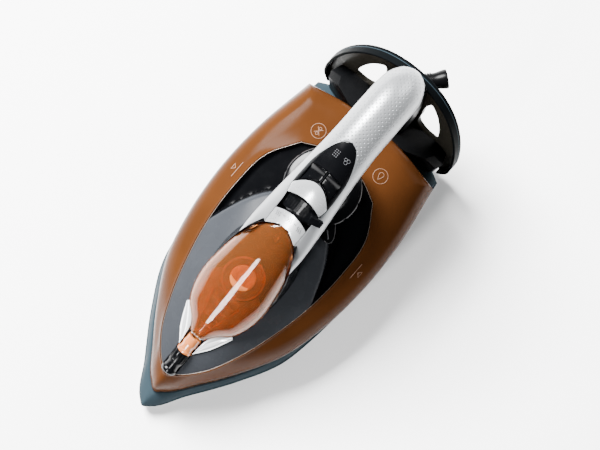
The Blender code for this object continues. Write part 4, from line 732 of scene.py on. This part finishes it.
def dome(name, table, offset=0.0, start=None, end=None, edge_drop=0.0, down=False, steps=28, fullness=1.0):
    """A solid under a vault of rounded sections between a seam and a crown, grown by an offset."""
    start = (table[0][0] if start is None else start) - offset / MM
    end = (table[-1][0] if end is None else end) + offset / MM
    places = []
    for near, far in zip(table, table[1:]):
        count = max(1, round((far[0] - near[0]) / 2.5))
        places += [near[0] + (far[0] - near[0]) * step / count for step in range(count)]
    places.append(table[-1][0])
    rings = []
    crown_column = len(table[0]) - 1
    for here in [start] + [place for place in places if start < place < end] + [end]:
        half = value(table, here, 1) * MM + offset
        seam = value(table, here, 2) * MM
        crown = value(table, here, crown_column) * MM + offset * (-1 if down else 1)
        low = seam - edge_drop
        section = [(-half, low)] if edge_drop else []
        for step in range(steps + 1):
            angle = math.pi * step / steps
            side = -half * math.copysign(abs(math.cos(angle)) ** fullness, math.cos(angle))
            section.append((side, seam + (crown - seam) * math.sin(angle) ** fullness))
        if edge_drop:
            section.append((half, low))
        rings.append([Vector((TIP_X - here * MM, side, height)) for side, height in section])
    return loft(name, rings)


def lid_room():
    return dome("lid_room", [(u, w, rim, rim + 80) for u, w, rim, _ in LID], GAP, edge_drop=GAP)


def deck_block():
    return slab("deck_block", deck_half(GAP), lambda u, y: deck_height(u, y) + 0.3, 45 * MM, columns=40)


def make_lid():
    lid = dome("lid_shell", LID)
    inner = dome("lid_inside", LID, -1.7 * MM, edge_drop=14 * MM)
    combine(lid, "DIFFERENCE", inner, deck_block())
    piece(lid, "clear_copper", "lid", "filler_lid")
    seal_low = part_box("lid_seal")[0].z
    cap = turned("lid_cap", at(FILLER_BEHIND, 0, 0) + Vector((0, 0, seal_low)),
                 [(0, 0), (7.4 * MM, 0), (8.2 * MM, 0.8 * MM), (8.2 * MM, 7.4 * MM), (7.4 * MM, 8.2 * MM),
                  (4.2 * MM, 8.2 * MM), (3.7 * MM, 7.7 * MM), (0, 7.7 * MM)])
    piece(cap, "pale_amber", "lid", "lid_seal")


def make_funnel():
    top = at(FILLER_BEHIND, 0, 0)
    top.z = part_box("filler_funnel")[1].z
    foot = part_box("filler_funnel")[0].z - top.z
    profile = [(14.0 * MM, 0), (14.2 * MM, -0.5 * MM), (14.0 * MM, -2.6 * MM), (11 * MM, -8.0 * MM),
               (8 * MM, -9.4 * MM), (8 * MM, foot), (6.4 * MM, foot), (6.4 * MM, -6.5 * MM),
               (9.6 * MM, -6.2 * MM), (12.5 * MM, -1.8 * MM), (12.7 * MM, 0)]
    piece(turned("funnel", top, profile), "amber", "iron", "filler_funnel")
    # An amber sheet under the lid. Its strong mottle paints the glints seen through the clear copper.
    bed_half = [(u, w - 3.4) for u, w, _, _ in LID[:5]] + [(102, 19), (106, 14), (108, 0)]
    bed = slab("lid_bed", bed_half, lambda u, y: deck_height(u, y) + 1.6, 0.9 * MM)
    combine(bed, "DIFFERENCE", rod("bed_way", at(FILLER_BEHIND, 0, 45), 14.6 * MM, 60 * MM))
    piece(bed, "amber_painted_glints", "iron")
    ribs = []
    for step in range(5):
        height = deck_height(70 + 6 * step, 0) + 2.2
        ribs.append([at(70 + 6 * step, -5 - step, height), at(70 + 6 * step, 5 + step, height)])
    for sign in (-1, 1):
        ribs.append([at(67 + 3 * step, sign * (3.6 + 0.9 * step), deck_height(67 + 3 * step, 0) + 2.2)
                     for step in range(9)])
    piece(wire("lid_bed_ribs", ribs, 0.6 * MM), "amber", "iron")


def make_pillar(deck_cut_source):
    outer = between([ring(PILLAR_FOOT_SIDE, PILLAR_FOOT_REAR), ring(PILLAR_HEAD_SIDE, PILLAR_HEAD_REAR)], 10)
    flared = []
    for index, points in enumerate(outer):
        share = index / (len(outer) - 1)
        flared.append(inset(points, 1.6 * MM * math.sin(math.pi * share)))
    inner = [inset(points, 2.2 * MM) for points in (flared[0], flared[-1])]
    pillar = loft("pillar", flared + inner[::-1], closed=True)
    handle_block = dome("handle_block", [row[:4] for row in HANDLE], GAP, edge_drop=GAP)
    combine(pillar, "DIFFERENCE", deck_cut_source(), lid_room(), handle_block)
    piece(pillar, "ink", "iron", "front_pillar")


# Handle.

def handle_top(behind, side):
    half = value(HANDLE, behind, 1)
    seam, crown = value(HANDLE, behind, 2), value(HANDLE, behind, 3)
    return seam + (crown - seam) * math.sqrt(max(1 - (side / half) ** 2, 0))


def opening_half(offset):
    points = [at(u, y, 0) for u, y in spline(OPENING, 4)]
    whole = [Vector((points[0].x, 0, 0))] + points + [Vector((p.x, -p.y, 0)) for p in reversed(points[:-1])]
    return [point.to_2d() for point in inset(whole, offset)]


def opening_block(offset):
    return prism("opening_block", opening_half(offset), 0.09, 0.17)


def arc_line(arc, reach, offset=0.0, steps=16):
    """Points across the handle on a bowed line, given as its middle, bow and half width."""
    middle, bow, half = arc
    sides = [reach * (2 * step / steps - 1) for step in range(steps + 1)]
    return [(middle + offset - bow * (side / half) ** 2, side) for side in sides]


def region(front, rear):
    return prism("region", [at(u, y, 0).to_2d() for u, y in front + rear[::-1]], 0.09, 0.17)


def top_slab(name, start, end, lift, thickness, height_at=None):
    """A sheet that follows the top of the handle between two distances, lifted in millimetres."""
    count = max(10, round((end - start) * 1.4))
    stations = [start + (end - start) * step / count for step in range(count + 1)]
    half = [(start - 1, 0)] + [(u, min(value(HANDLE, u, 1) - 1.6, 16)) for u in stations] + [(end + 1, 0)]
    lifted = height_at or (lambda u, y: handle_top(u, y) + lift)
    return slab(name, half, lifted, thickness, columns=30)


def make_cover():
    table = [row[:4] for row in HANDLE]
    cover = dome("cover", table, steps=40)
    inner = dome("cover_inside", table, -2.2 * MM, start=HANDLE[0][0] - 4, end=267, edge_drop=6 * MM)
    combine(cover, "DIFFERENCE", inner, opening_block(0), lid_room())
    piece(soften(cover, 0.35 * MM, 2, 42), "dimpled", "iron", "handle_cover")


def grip_table():
    return [(u, w, seam - 0.3, low) for u, w, seam, _, low in HANDLE]


def make_grip():
    grip = dome("grip", grip_table(), start=140, down=True)
    inner = dome("grip_inside", grip_table(), -2.2 * MM, start=136, end=264, edge_drop=-6 * MM, down=True)
    pillar = loft("pillar_block", [inset(ring(PILLAR_FOOT_SIDE, PILLAR_FOOT_REAR), -GAP),
                                   inset(ring(PILLAR_HEAD_SIDE, PILLAR_HEAD_REAR), -GAP)])
    combine(grip, "DIFFERENCE", inner, pillar, lid_room(), heel_block(7.3 * MM))
    piece(grip, "matte", "iron", "handle_grip")


def make_inlays():
    band = top_slab("icon_plate", 143, 159, -0.1, 2.2 * MM)
    front = arc_line(WINDOW_FRONT, 14)
    plan = region([(143, y) for _, y in front], [(u - 0.3, y) for u, y in front])
    combine(band, "INTERSECT", opening_block(GAP), plan)
    combine(band, "DIFFERENCE", lid_room())
    piece(soften(band, 0.25 * MM), "silver", "iron", "icon_band")

    def saddle_height(u, y):
        return handle_top(u, y) + 0.5 + 0.9 * math.sin(math.pi * min(max((u - 165) / 14, 0), 1))

    saddle = top_slab("saddle_plate", 160, 181, 0.5, 3.4 * MM, saddle_height)
    front, rear = arc_line(SADDLE_FRONT, 14), arc_line(SADDLE_REAR, 14.4)
    combine(saddle, "INTERSECT", opening_block(GAP), region([(u + 0.3, y) for u, y in front], rear))
    piece(soften(saddle, 0.5 * MM, 3), "silver", "iron", "saddle")
    panel = top_slab("panel_plate", 168, 212, -0.3, 3 * MM)
    plan = region([(u + 0.3, y) for u, y in rear], [(213, y) for _, y in rear])
    combine(panel, "INTERSECT", opening_block(GAP), plan)
    combine(panel, "DIFFERENCE", *[button_block(sign, -0.45 * MM) for sign in (-1, 1)])
    piece(soften(panel, 0.3 * MM), "ink", "iron", "button_panel")
    return band, panel


def button_block(sign, offset):
    front = [(u + 1.6, y) for u, y in arc_line(SADDLE_REAR, 11.4)[9:]]
    front = [(SADDLE_REAR[0] + 1.5, 0.9)] + front
    points = [at(u, y, 0) for u, y in front + [(RIDGE_BEHIND - 1.2, 11), (RIDGE_BEHIND, 0.9)]]
    points = inset(points, offset)
    if sign < 0:
        points = [Vector((point.x, -point.y, 0)) for point in reversed(points)]
    return prism("button_block", [point.to_2d() for point in points], 0.09, 0.17)


def make_buttons():
    def key_height(u, y):
        return handle_top(u, y) - 0.5 - 1.5 * math.sin(math.pi * min(max((u - 174) / 14.5, 0), 1)) \
            + 1.3 * smooth_step((u - 184.5) / 3)

    for name, sign in (("spray", -1), ("steam", 1)):
        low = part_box(name + "_button")[0].z
        key = top_slab(name + "_key_top", 170, 191, 0, 4.6 * MM, key_height)
        combine(key, "INTERSECT", button_block(sign, 0))
        soften(key, 0.5 * MM, 3)
        stem_top = (handle_top(BUTTON_BEHIND, BUTTON_SIDE) - 3.5) * MM
        stem_foot = at(BUTTON_BEHIND, sign * BUTTON_SIDE, 0) + Vector((0, 0, low))
        stem = rod("stem", stem_foot, 2.5 * MM, stem_top - low)
        combine(key, "UNION", stem)
        piece(key, "ink", name + "_key", name + "_button")


# Steam lever.

LEVER_BEHIND = 160.3
LEVER_SLOPE = math.radians(31)
LEVER_RADIUS = 26 * MM


def lever_frame():
    surface_point = at(LEVER_BEHIND, 0, value(HANDLE, LEVER_BEHIND, 3))
    along = Vector((-math.cos(LEVER_SLOPE), 0, math.sin(LEVER_SLOPE)))
    out = Vector((math.sin(LEVER_SLOPE), 0, math.cos(LEVER_SLOPE)))
    turn = Matrix((along, Vector((0, 1, 0)), out)).transposed().to_4x4()
    return Matrix.Translation(surface_point - out * LEVER_RADIUS) @ turn


def arc_plate(name, inner, outer, start, end, near, far, steps=24):
    """A piece of a tube round the lever's axis, between two angles in degrees and two places along it."""
    placed = lever_frame()
    angles = [math.radians(start + (end - start) * step / steps) for step in range(steps + 1)]
    arc = [(inner, angle) for angle in angles] + [(outer, angle) for angle in reversed(angles)]
    turned_arc = [(radius * math.sin(angle), radius * math.cos(angle)) for radius, angle in arc]
    points = [placed @ Vector((near, along, up)) for along, up in turned_arc]
    bm = bmesh.new()
    face = bm.faces.new([bm.verts.new(point) for point in points])
    made = bmesh.ops.extrude_face_region(bm, geom=[face])
    fresh = [item for item in made["geom"] if isinstance(item, bmesh.types.BMVert)]
    bmesh.ops.translate(bm, verts=fresh, vec=placed.to_3x3() @ Vector((far - near, 0, 0)))
    return new_object(name, bm)


def make_lever():
    top = LEVER_RADIUS - 0.4 * MM
    half = 3.5 * MM
    lever = arc_plate("lever", top - 1.9 * MM, top, 13, 25, -half, half)
    nub = arc_plate("nub", top - 1.5 * MM, LEVER_RADIUS + 3.4 * MM, 19, 26, 0, half)
    head = arc_plate("head", LEVER_RADIUS + 1.1 * MM, LEVER_RADIUS + 3.4 * MM, 19, 36, -1 * MM, half)
    combine(lever, "UNION", nub, head)
    piece(soften(lever, 0.55 * MM, 3), "ink", "lever", "steam_lever")
    ribs = []
    placed = lever_frame()
    for step in range(9):
        angle = math.radians(-26 + 4.4 * step)
        radius = LEVER_RADIUS - 2.8 * MM
        ribs.append([placed @ Vector((reach, radius * math.sin(angle), radius * math.cos(angle)))
                     for reach in (-3 * MM, 3 * MM)])
    piece(wire("track_ribs", ribs, 0.3 * MM), "ink", "iron")


# Dial.

def make_dial():
    low = 79 * MM
    center = at(DIAL_BEHIND, 0, 0) + Vector((0, 0, low))
    radius, top = 25.5 * MM, 8.5 * MM
    profile = [(0, 0), (radius - 1.2 * MM, 0), (radius, 1.2 * MM), (radius, top - 3 * MM),
               (radius - 0.7 * MM, top - 1.7 * MM), (radius - 2.2 * MM, top - 0.8 * MM),
               (radius * 0.72, top - 0.25 * MM), (radius * 0.68, top - 0.9 * MM),
               (radius * 0.64, top - 0.25 * MM), (radius * 0.3, top), (0, top)]
    dial = turned("dial_knob", center, profile, sides=120)
    flutes = []
    for step in range(12):
        angle = math.tau * (step + 0.5) / 12
        spoke = Vector((math.cos(angle), math.sin(angle), 0))
        spot = center + spoke * (radius + 1.8 * MM) - Vector((0, 0, MM))
        flutes.append(rod(f"flute_{step}", spot, 2.4 * MM, top + 2 * MM, sides=20))
    combine(dial, "DIFFERENCE", *flutes)
    angle = TAB_TURN
    out = Vector((math.cos(angle), math.sin(angle), 0))
    across = Vector((-out.y, out.x, 0))
    edge = [(19.5, 6.6), (30, 4.8), (33.5, 3.6), (35.7, 2)]
    shape = [(reach, -side) for reach, side in edge] + [(36.4, 0)] + edge[::-1]
    corners = [(center + out * a * MM + across * b * MM).to_2d() for a, b in shape]
    tab = prism("tab", corners, low + 1.5 * MM, low + 6 * MM)
    soften(tab, 0.8 * MM, 3)
    combine(dial, "UNION", tab)
    piece(dial, "ink", "dial", "dial")
    pointer = [[center + out * reach * MM + Vector((0, 0, 6.05 * MM)) for reach in (27.5, 33.6)]]
    piece(wire("dial_pointer", pointer, 0.35 * MM), "grey_print", "dial")
    base_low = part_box("dial_base")[0].z
    base_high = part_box("dial_base")[1].z
    foot = at(DIAL_BEHIND, 0, 0) + Vector((0, 0, base_low))
    height = base_high - base_low
    drum = [(3.6 * MM, 0), (22.5 * MM, 0), (22.5 * MM, height - 3 * MM), (22.0 * MM, height - 2.6 * MM),
            (22.0 * MM, height), (3.6 * MM, height)]
    base = turned("dial_drum", foot, drum, sides=96)
    combine(base, "DIFFERENCE", deck_block())
    piece(base, "ink", "iron", "dial_base")
    ticks = []
    for step in range(9):
        turn = math.radians(60 + 30 * step)
        spoke = Vector((math.cos(turn), math.sin(turn), 0))
        ticks.append([at(DIAL_BEHIND, 0, height) + spoke * 22.55 * MM for height in (73.5, 77)])
    piece(wire("dial_ticks", ticks, 0.25 * MM), "grey_print", "iron")


# Heel, column and swivel.

def heel_behind(height):
    return HEEL_FOOT[0] + (height - HEEL_FOOT[1]) * HEEL_SLOPE


def heel_frame(back_off):
    foot = at(heel_behind(10), 0, 10)
    up = (at(heel_behind(110), 0, 110) - foot).normalized()
    side = Vector((0, -1, 0))
    out = side.cross(up)
    turn = Matrix((side, up, out)).transposed().to_4x4()
    return Matrix.Translation(foot - out * back_off) @ turn, up, out


def on_heel(side, height):
    return (-side * MM, (height - HEEL_FOOT[1]) * MM / heel_frame(0)[1].z)


def heel_block(back_off):
    reach = 0.15
    square = [(-reach, -reach), (reach, -reach), (reach, reach), (-reach, reach)]
    return prism("heel_block", square, 0, reach, heel_frame(back_off)[0])


def arch_line(offset=0.0):
    half = spline(HEEL_ARCH, 4, True)
    whole = [Vector(on_heel(y, z)).to_3d() for y, z in half]
    whole += [Vector((-point.x, point.y, 0)) for point in reversed(whole[:-1])]
    moved = []
    for index, point in enumerate(whole):
        into = point - whole[max(index - 1, 0)]
        out = whole[min(index + 1, len(whole) - 1)] - point
        along = (into + out).to_2d().normalized()
        moved.append(Vector((point.x - along.y * offset, point.y + along.x * offset)))
    moved[-1].y = moved[0].y
    return moved


def make_heel():
    placed = heel_frame(0)[0]
    plate = prism("heel_plate", arch_line(-2.1 * MM), -3.4 * MM, 0, placed)
    cutters = []
    for sign in (-1, 1):
        hole = spline([(sign * y, z) for y, z in HEEL_HOLE + HEEL_HOLE[:1]], 6)[:-1]
        cutters.append(prism("hole", [on_heel(y, z) for y, z in hole], -10 * MM, 10 * MM, placed))
    swivel = at(*SWIVEL_PLACE)
    room = [(0, -3 * MM), (12.8 * MM, -3 * MM), (12.8 * MM, 0), (16.8 * MM, 12 * MM), (0, 12 * MM)]
    cutters.append(turned("bush_room", swivel, room, REARWARDS, 48))
    for side, height in SCREW_PLACES.values():
        x, y = on_heel(side, height)
        foot = placed @ Vector((x, y, -2.5 * MM))
        cutters.append(rod("screw_hole", foot, 3.3 * MM, 6 * MM, heel_frame(0)[2]))
    combine(plate, "DIFFERENCE", *cutters)
    piece(soften(plate, 0.45 * MM, 2), "smoke", "iron", "heel_ring")
    outer, inner = arch_line(), arch_line(-1.8 * MM)
    sections = []
    for near, far in zip(outer, inner):
        left, right = near.lerp(far, 0.2), near.lerp(far, 0.8)
        spots = [(near, -0.4), (near, -6.6), (left, -7), (right, -7), (far, -6.6), (far, -0.4), (right, 0),
                 (left, 0)]
        sections.append([placed @ Vector((spot.x, spot.y, depth * MM)) for spot, depth in spots])
    piece(loft("heel_edge", sections), "rim", "iron", "heel_rim")
    # A thin blue-grey stroke along the heel's outer side wall: a painted highlight where the rim catches the
    # light.
    line = [placed @ Vector((spot.x, spot.y, -2.4 * MM)) for spot in arch_line(-0.15 * MM)]
    piece(wire("rim_painted_highlight", [line[2:-2]], 0.28 * MM), "blue_grey", "iron")
    for name, (side, height) in SCREW_PLACES.items():
        make_screw(name, side, height)


def make_screw(name, side, height):
    placed, _, out = heel_frame(0)
    x, y = on_heel(side, height)
    center = placed @ Vector((x, y, -2.2 * MM))
    profile = [(0, 0), (2.7 * MM, 0), (3 * MM, 0.4 * MM), (2.9 * MM, 1.0 * MM), (2.3 * MM, 1.5 * MM),
               (1.2 * MM, 1.75 * MM), (0, 1.8 * MM)]
    head = turned(name + "_head", center, profile, out, 48)
    slots = []
    for wide, tall in ((1.9, 0.35), (0.35, 1.9)):
        left, right, low, high = x - wide * MM, x + wide * MM, y - tall * MM, y + tall * MM
        corners = [(left, low), (right, low), (right, high), (left, high)]
        slots.append(prism("slot", corners, -1.3 * MM, 3 * MM, placed))
    combine(head, "DIFFERENCE", *slots)
    piece(head, "steel", "iron", name)


def body_rings(offset=0.0):
    levels = [
        [(237, 0, 14), (239, 28, 14), (244, 44, 14), (246.5, 46, 14), (258, 45, 14), (259, 0, 14)],
        [(237, 0, 44), (239, 28, 44), (245.5, 46.5, 44), (250, 48, 44), (260, 44, 44), (261, 0, 44)],
        [(237, 0, 58), (239, 24, 57), (244, 37, 54), (250, 40, 51.5), (258.5, 36, 48), (259, 0, 48)],
    ]
    rings = [[at(*point) for point in half + [(u, -y, z) for u, y, z in half[-2:0:-1]]] for half in levels]
    rings = [inset(points, -offset) for points in rings]
    return rings[:2] + [[point + Vector((0, 0, offset)) for point in rings[2]]]


def make_rear_body():
    body = loft("rear_shell", body_rings())
    tank = [inset(points, -GAP) for points in tank_rings(0, 1)]
    tank_block = loft("tank_block", [level(tank[0], 15 * MM)] + tank)
    rim = ring(SKIRT_SIDE, SKIRT_REAR)
    shelf = level(inset(ring(TANK_FOOT_SIDE, TANK_FOOT_REAR), -1.4 * MM), 20.8 * MM)
    grown = inset(rim, -GAP)
    skirt_block = loft("skirt_block", [level(grown, 3 * MM), level(grown, 12.5 * MM), shelf])
    combine(body, "DIFFERENCE", heel_block(3.7 * MM), tank_block, skirt_block)
    piece(soften(body, 1.6 * MM, 3, 25), "matte", "iron", "rear_body")


def make_column():
    levels = [(44, 243, 262, 15), (80, 248.5, 270, 14.2), (100, 251, 276, 12), (119, 250, 280, 11)]
    rings = []
    for height, front, rear, half in levels:
        corners = [(front, 4 - half, height), (front, half - 4, height), (front + 1, half - 1.4, height),
                   (front + 3.5, half, height), (rear, half, height), (rear, -half, height),
                   (front + 3.5, -half, height), (front + 1, 1.4 - half, height)]
        rings.append([at(*corner) for corner in corners])
    column = loft("column", between(rings, 5))
    grip_block = dome("grip_block", grip_table(), 2 * GAP, start=150, edge_drop=-20 * MM, down=True)
    low = on_heel(0, 108.5)[1]
    rim_room = prism("rim_room", [(-0.04, low), (0.04, low), (0.04, 2 * low), (-0.04, 2 * low)], 0, 30 * MM,
                     heel_frame(7.3 * MM)[0])
    turns = [0.22 * step for step in range(7)]
    bowl = [(9.4 * MM * math.sin(turn), -9.4 * MM * math.cos(turn)) for turn in turns]
    bowl += [(11.6 * MM, -2.3 * MM), (11.6 * MM, 8 * MM), (0, 12 * MM)]
    socket = turned("socket", at(*SWIVEL_PLACE), bowl, REARWARDS, 48)
    body_block = loft("body_block", body_rings(GAP))
    combine(column, "DIFFERENCE", heel_block(3.7 * MM), grip_block, socket, rim_room, body_block)
    piece(column, "matte", "iron", "rear_column")


def swivel_axis(angle):
    return Vector((-math.cos(angle), math.sin(angle), 0))


def make_swivel():
    center = at(*SWIVEL_PLACE)
    inner, outer = 9.05 * MM, 11.25 * MM

    def arc(radius, start, end):
        angles = [math.radians(start + (end - start) * step / 14) for step in range(15)]
        return [(radius * math.sin(angle), radius * math.cos(angle)) for angle in angles]

    profile = [(inner, -2 * MM), (outer, -2 * MM)] + arc(outer, 90, 0) + arc(inner, 0, 90)
    shell = turned("swivel_shell", center, profile, REARWARDS, 72)
    reach = outer + 4 * MM
    slot_half = 6.65 * MM
    turns = (-50, 0, 50, 88)
    reaches = (reach, reach * 1.3, reach * 1.3, reach)
    rim = [center + swivel_axis(math.radians(turn)) * far for turn, far in zip(turns, reaches)]
    outline = [point.to_2d() for point in [center] + rim]
    combine(shell, "DIFFERENCE", prism("slot", outline, center.z - slot_half, center.z + slot_half))
    piece(soften(shell, 0.25 * MM), "ink", "swivel", "swivel_dome")


def make_bush():
    center = at(*SWIVEL_PLACE)
    ball, length = 8.6 * MM, 24.4 * MM
    profile = [(3.6 * MM, -ball * 0.4)]
    for step in range(13):
        angle = math.radians(-24 + 48 * step / 12)
        profile.append((ball * math.cos(angle), ball * math.sin(angle)))
    profile += [(5.8 * MM, ball * 0.7), (5.8 * MM, length * 0.36)]
    for step in range(4):
        start = length * 0.38 + step * 1.5 * MM
        profile += [(5.8 * MM, start), (5.8 * MM, start + 0.8 * MM), (5.2 * MM, start + 0.9 * MM),
                    (5.2 * MM, start + 1.4 * MM)]
    for step in range(9):
        share = step / 8
        profile.append((5.2 * MM + 1.0 * MM * smooth_step(share), length * (0.66 + 0.30 * share)))
    profile += [(6.2 * MM, length - 0.4 * MM), (5.9 * MM, length), (5.1 * MM, length),
                (4.6 * MM, length - 0.8 * MM), (3.6 * MM, length * 0.78)]
    bush = turned("bush_flare", center, profile, swivel_axis(BUSH_TURN), 64)
    piece(bush, "rubber", "bush", "cord_bush")


# Printed marks.

def circle(center, radius, count=40):
    turns = [math.tau * step / count for step in range(count + 1)]
    return [(center[0] + radius * math.cos(turn), center[1] + radius * math.sin(turn)) for turn in turns]


def marks(name, obj, shapes, radius, material):
    lines = [[on_top(obj, point) for point in shape] for shape in shapes]
    piece(wire(name, lines, radius), material, "iron")


def drop_shape(center, size):
    """A water drop that points forwards."""
    shape = []
    for step in range(25):
        angle = math.tau * step / 24
        wide = math.sin(angle) * math.sin(angle / 2) ** 1.5
        shape.append((center[0] - size * math.cos(angle), center[1] + size * 0.85 * wide))
    return shape


def wavy_line(start, side):
    return [(start + 0.375 * step, side + 0.35 * math.sin(math.pi * step / 4)) for step in range(9)]


def make_marks(tank, band, panel):
    left, right = (211.8, -26.6), (215.4, 22.8)
    crossing = [[(left[0] - 2.2, left[1] - 2.2), (left[0] + 2.2, left[1] + 2.2)],
                [(left[0] - 2.2, left[1] + 2.2), (left[0] + 2.2, left[1] - 2.2)]]
    marks("tank_mark_left", tank, [circle(left, 4.9), circle((left[0] - 1.9, left[1]), 0.9),
                                   circle((left[0] + 1.9, left[1]), 0.9)] + crossing, 0.16 * MM, "pale_print")
    marks("tank_mark_right", tank, [circle(right, 4.9), drop_shape(right, 2.7)], 0.16 * MM, "pale_print")
    for name, sign in (("level_mark_left", -1), ("level_mark_right", 1)):
        lines = [[(153 + 0.5 * step, sign * 50.6) for step in range(25)],
                 [(159, sign * 52.2), (156.8, sign * 54.2), (161.2, sign * 54.2), (159, sign * 52.2)]]
        marks(name, tank, lines, 0.2 * MM, "pale_print")
    steam = []
    for center in ((151.8, -8.2), (152.8, 0), (151.8, 8.2)):
        for shift in (-1.2, 0, 1.2):
            steam.append(wavy_line(center[0] - 1.5, center[1] + shift))
    for side in (-4.2, 4.2):
        steam.append([(152.8, side - 0.9), (152.8, side + 0.9)])
    marks("band_marks", band, steam, 0.16 * MM, "dark_print")
    dots = [(198.4 + 1.3 * row, -5.0 + 1.3 * column) for row in range(4) for column in range(3)]
    spray = [circle(dot, 0.22, 8) for dot in dots]
    cloud = [circle((199.5, 4.2), 1.1), circle((201.0, 3.2), 0.9), circle((201.2, 5.2), 1.0)]
    marks("panel_marks", panel, spray + cloud, 0.12 * MM, "grey_print")


# Stage.

def area_light(name, place, aim, size, power, long_side=None, color=(1, 1, 1)):
    data = bpy.data.lights.new(name, "AREA")
    data.energy = power
    data.color = color
    data.size = size
    if long_side:
        data.shape = "RECTANGLE"
        data.size_y = long_side
    lamp = bpy.data.objects.new(name, data)
    bpy.context.scene.collection.objects.link(lamp)
    lamp.location = place
    lamp.rotation_euler = (Vector(aim) - Vector(place)).to_track_quat("-Z", "Y").to_euler()


def make_stage():
    bm = bmesh.new()
    bmesh.ops.create_grid(bm, x_segments=1, y_segments=1, size=4)
    bmesh.ops.translate(bm, verts=bm.verts, vec=(0, 0, -0.0002))
    floor = new_object("floor", bm)
    paper = bpy.data.materials.new("paper")
    paper.use_nodes = True
    shader = paper.node_tree.nodes["Principled BSDF"]
    shader.inputs["Base Color"].default_value = (0.93, 0.93, 0.93, 1)
    shader.inputs["Roughness"].default_value = 0.9
    shader.inputs["Specular IOR Level"].default_value = 0.1
    floor.data.materials.append(paper)
    world = bpy.data.worlds.new("studio")
    world.use_nodes = True
    world.node_tree.nodes["Background"].inputs["Color"].default_value = (0.9, 0.95, 1, 1)
    world.node_tree.nodes["Background"].inputs["Strength"].default_value = 0.10
    bpy.context.scene.world = world
    area_light("key", (-0.35, -1.12, 1.42), (0, 0, 0.02), 0.80, 345)
    area_light("back", (-1.4, 0.3, 0.8), (0, 0, 0.04), 0.9, 20)
    area_light("ridge", (1.15, -0.02, 0.72), (0.03, 0, 0.09), 0.18, 26, long_side=0.6)


def main():
    for name, nodes in NODE_MATERIALS.items():
        for label in nodes.split():
            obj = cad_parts[label]
            obj.data.materials.clear()
            obj.data.materials.append(MATERIALS[name])
    make_soleplate()
    make_skirt()
    tank = make_tank()
    make_deck()
    make_trims()
    make_nozzle()
    make_lid()
    make_funnel()
    make_pillar(deck_block)
    make_cover()
    make_grip()
    band, panel = make_inlays()
    make_buttons()
    make_lever()
    make_dial()
    make_heel()
    make_rear_body()
    make_column()
    make_swivel()
    make_bush()
    make_marks(tank, band, panel)
    make_stage()


main()
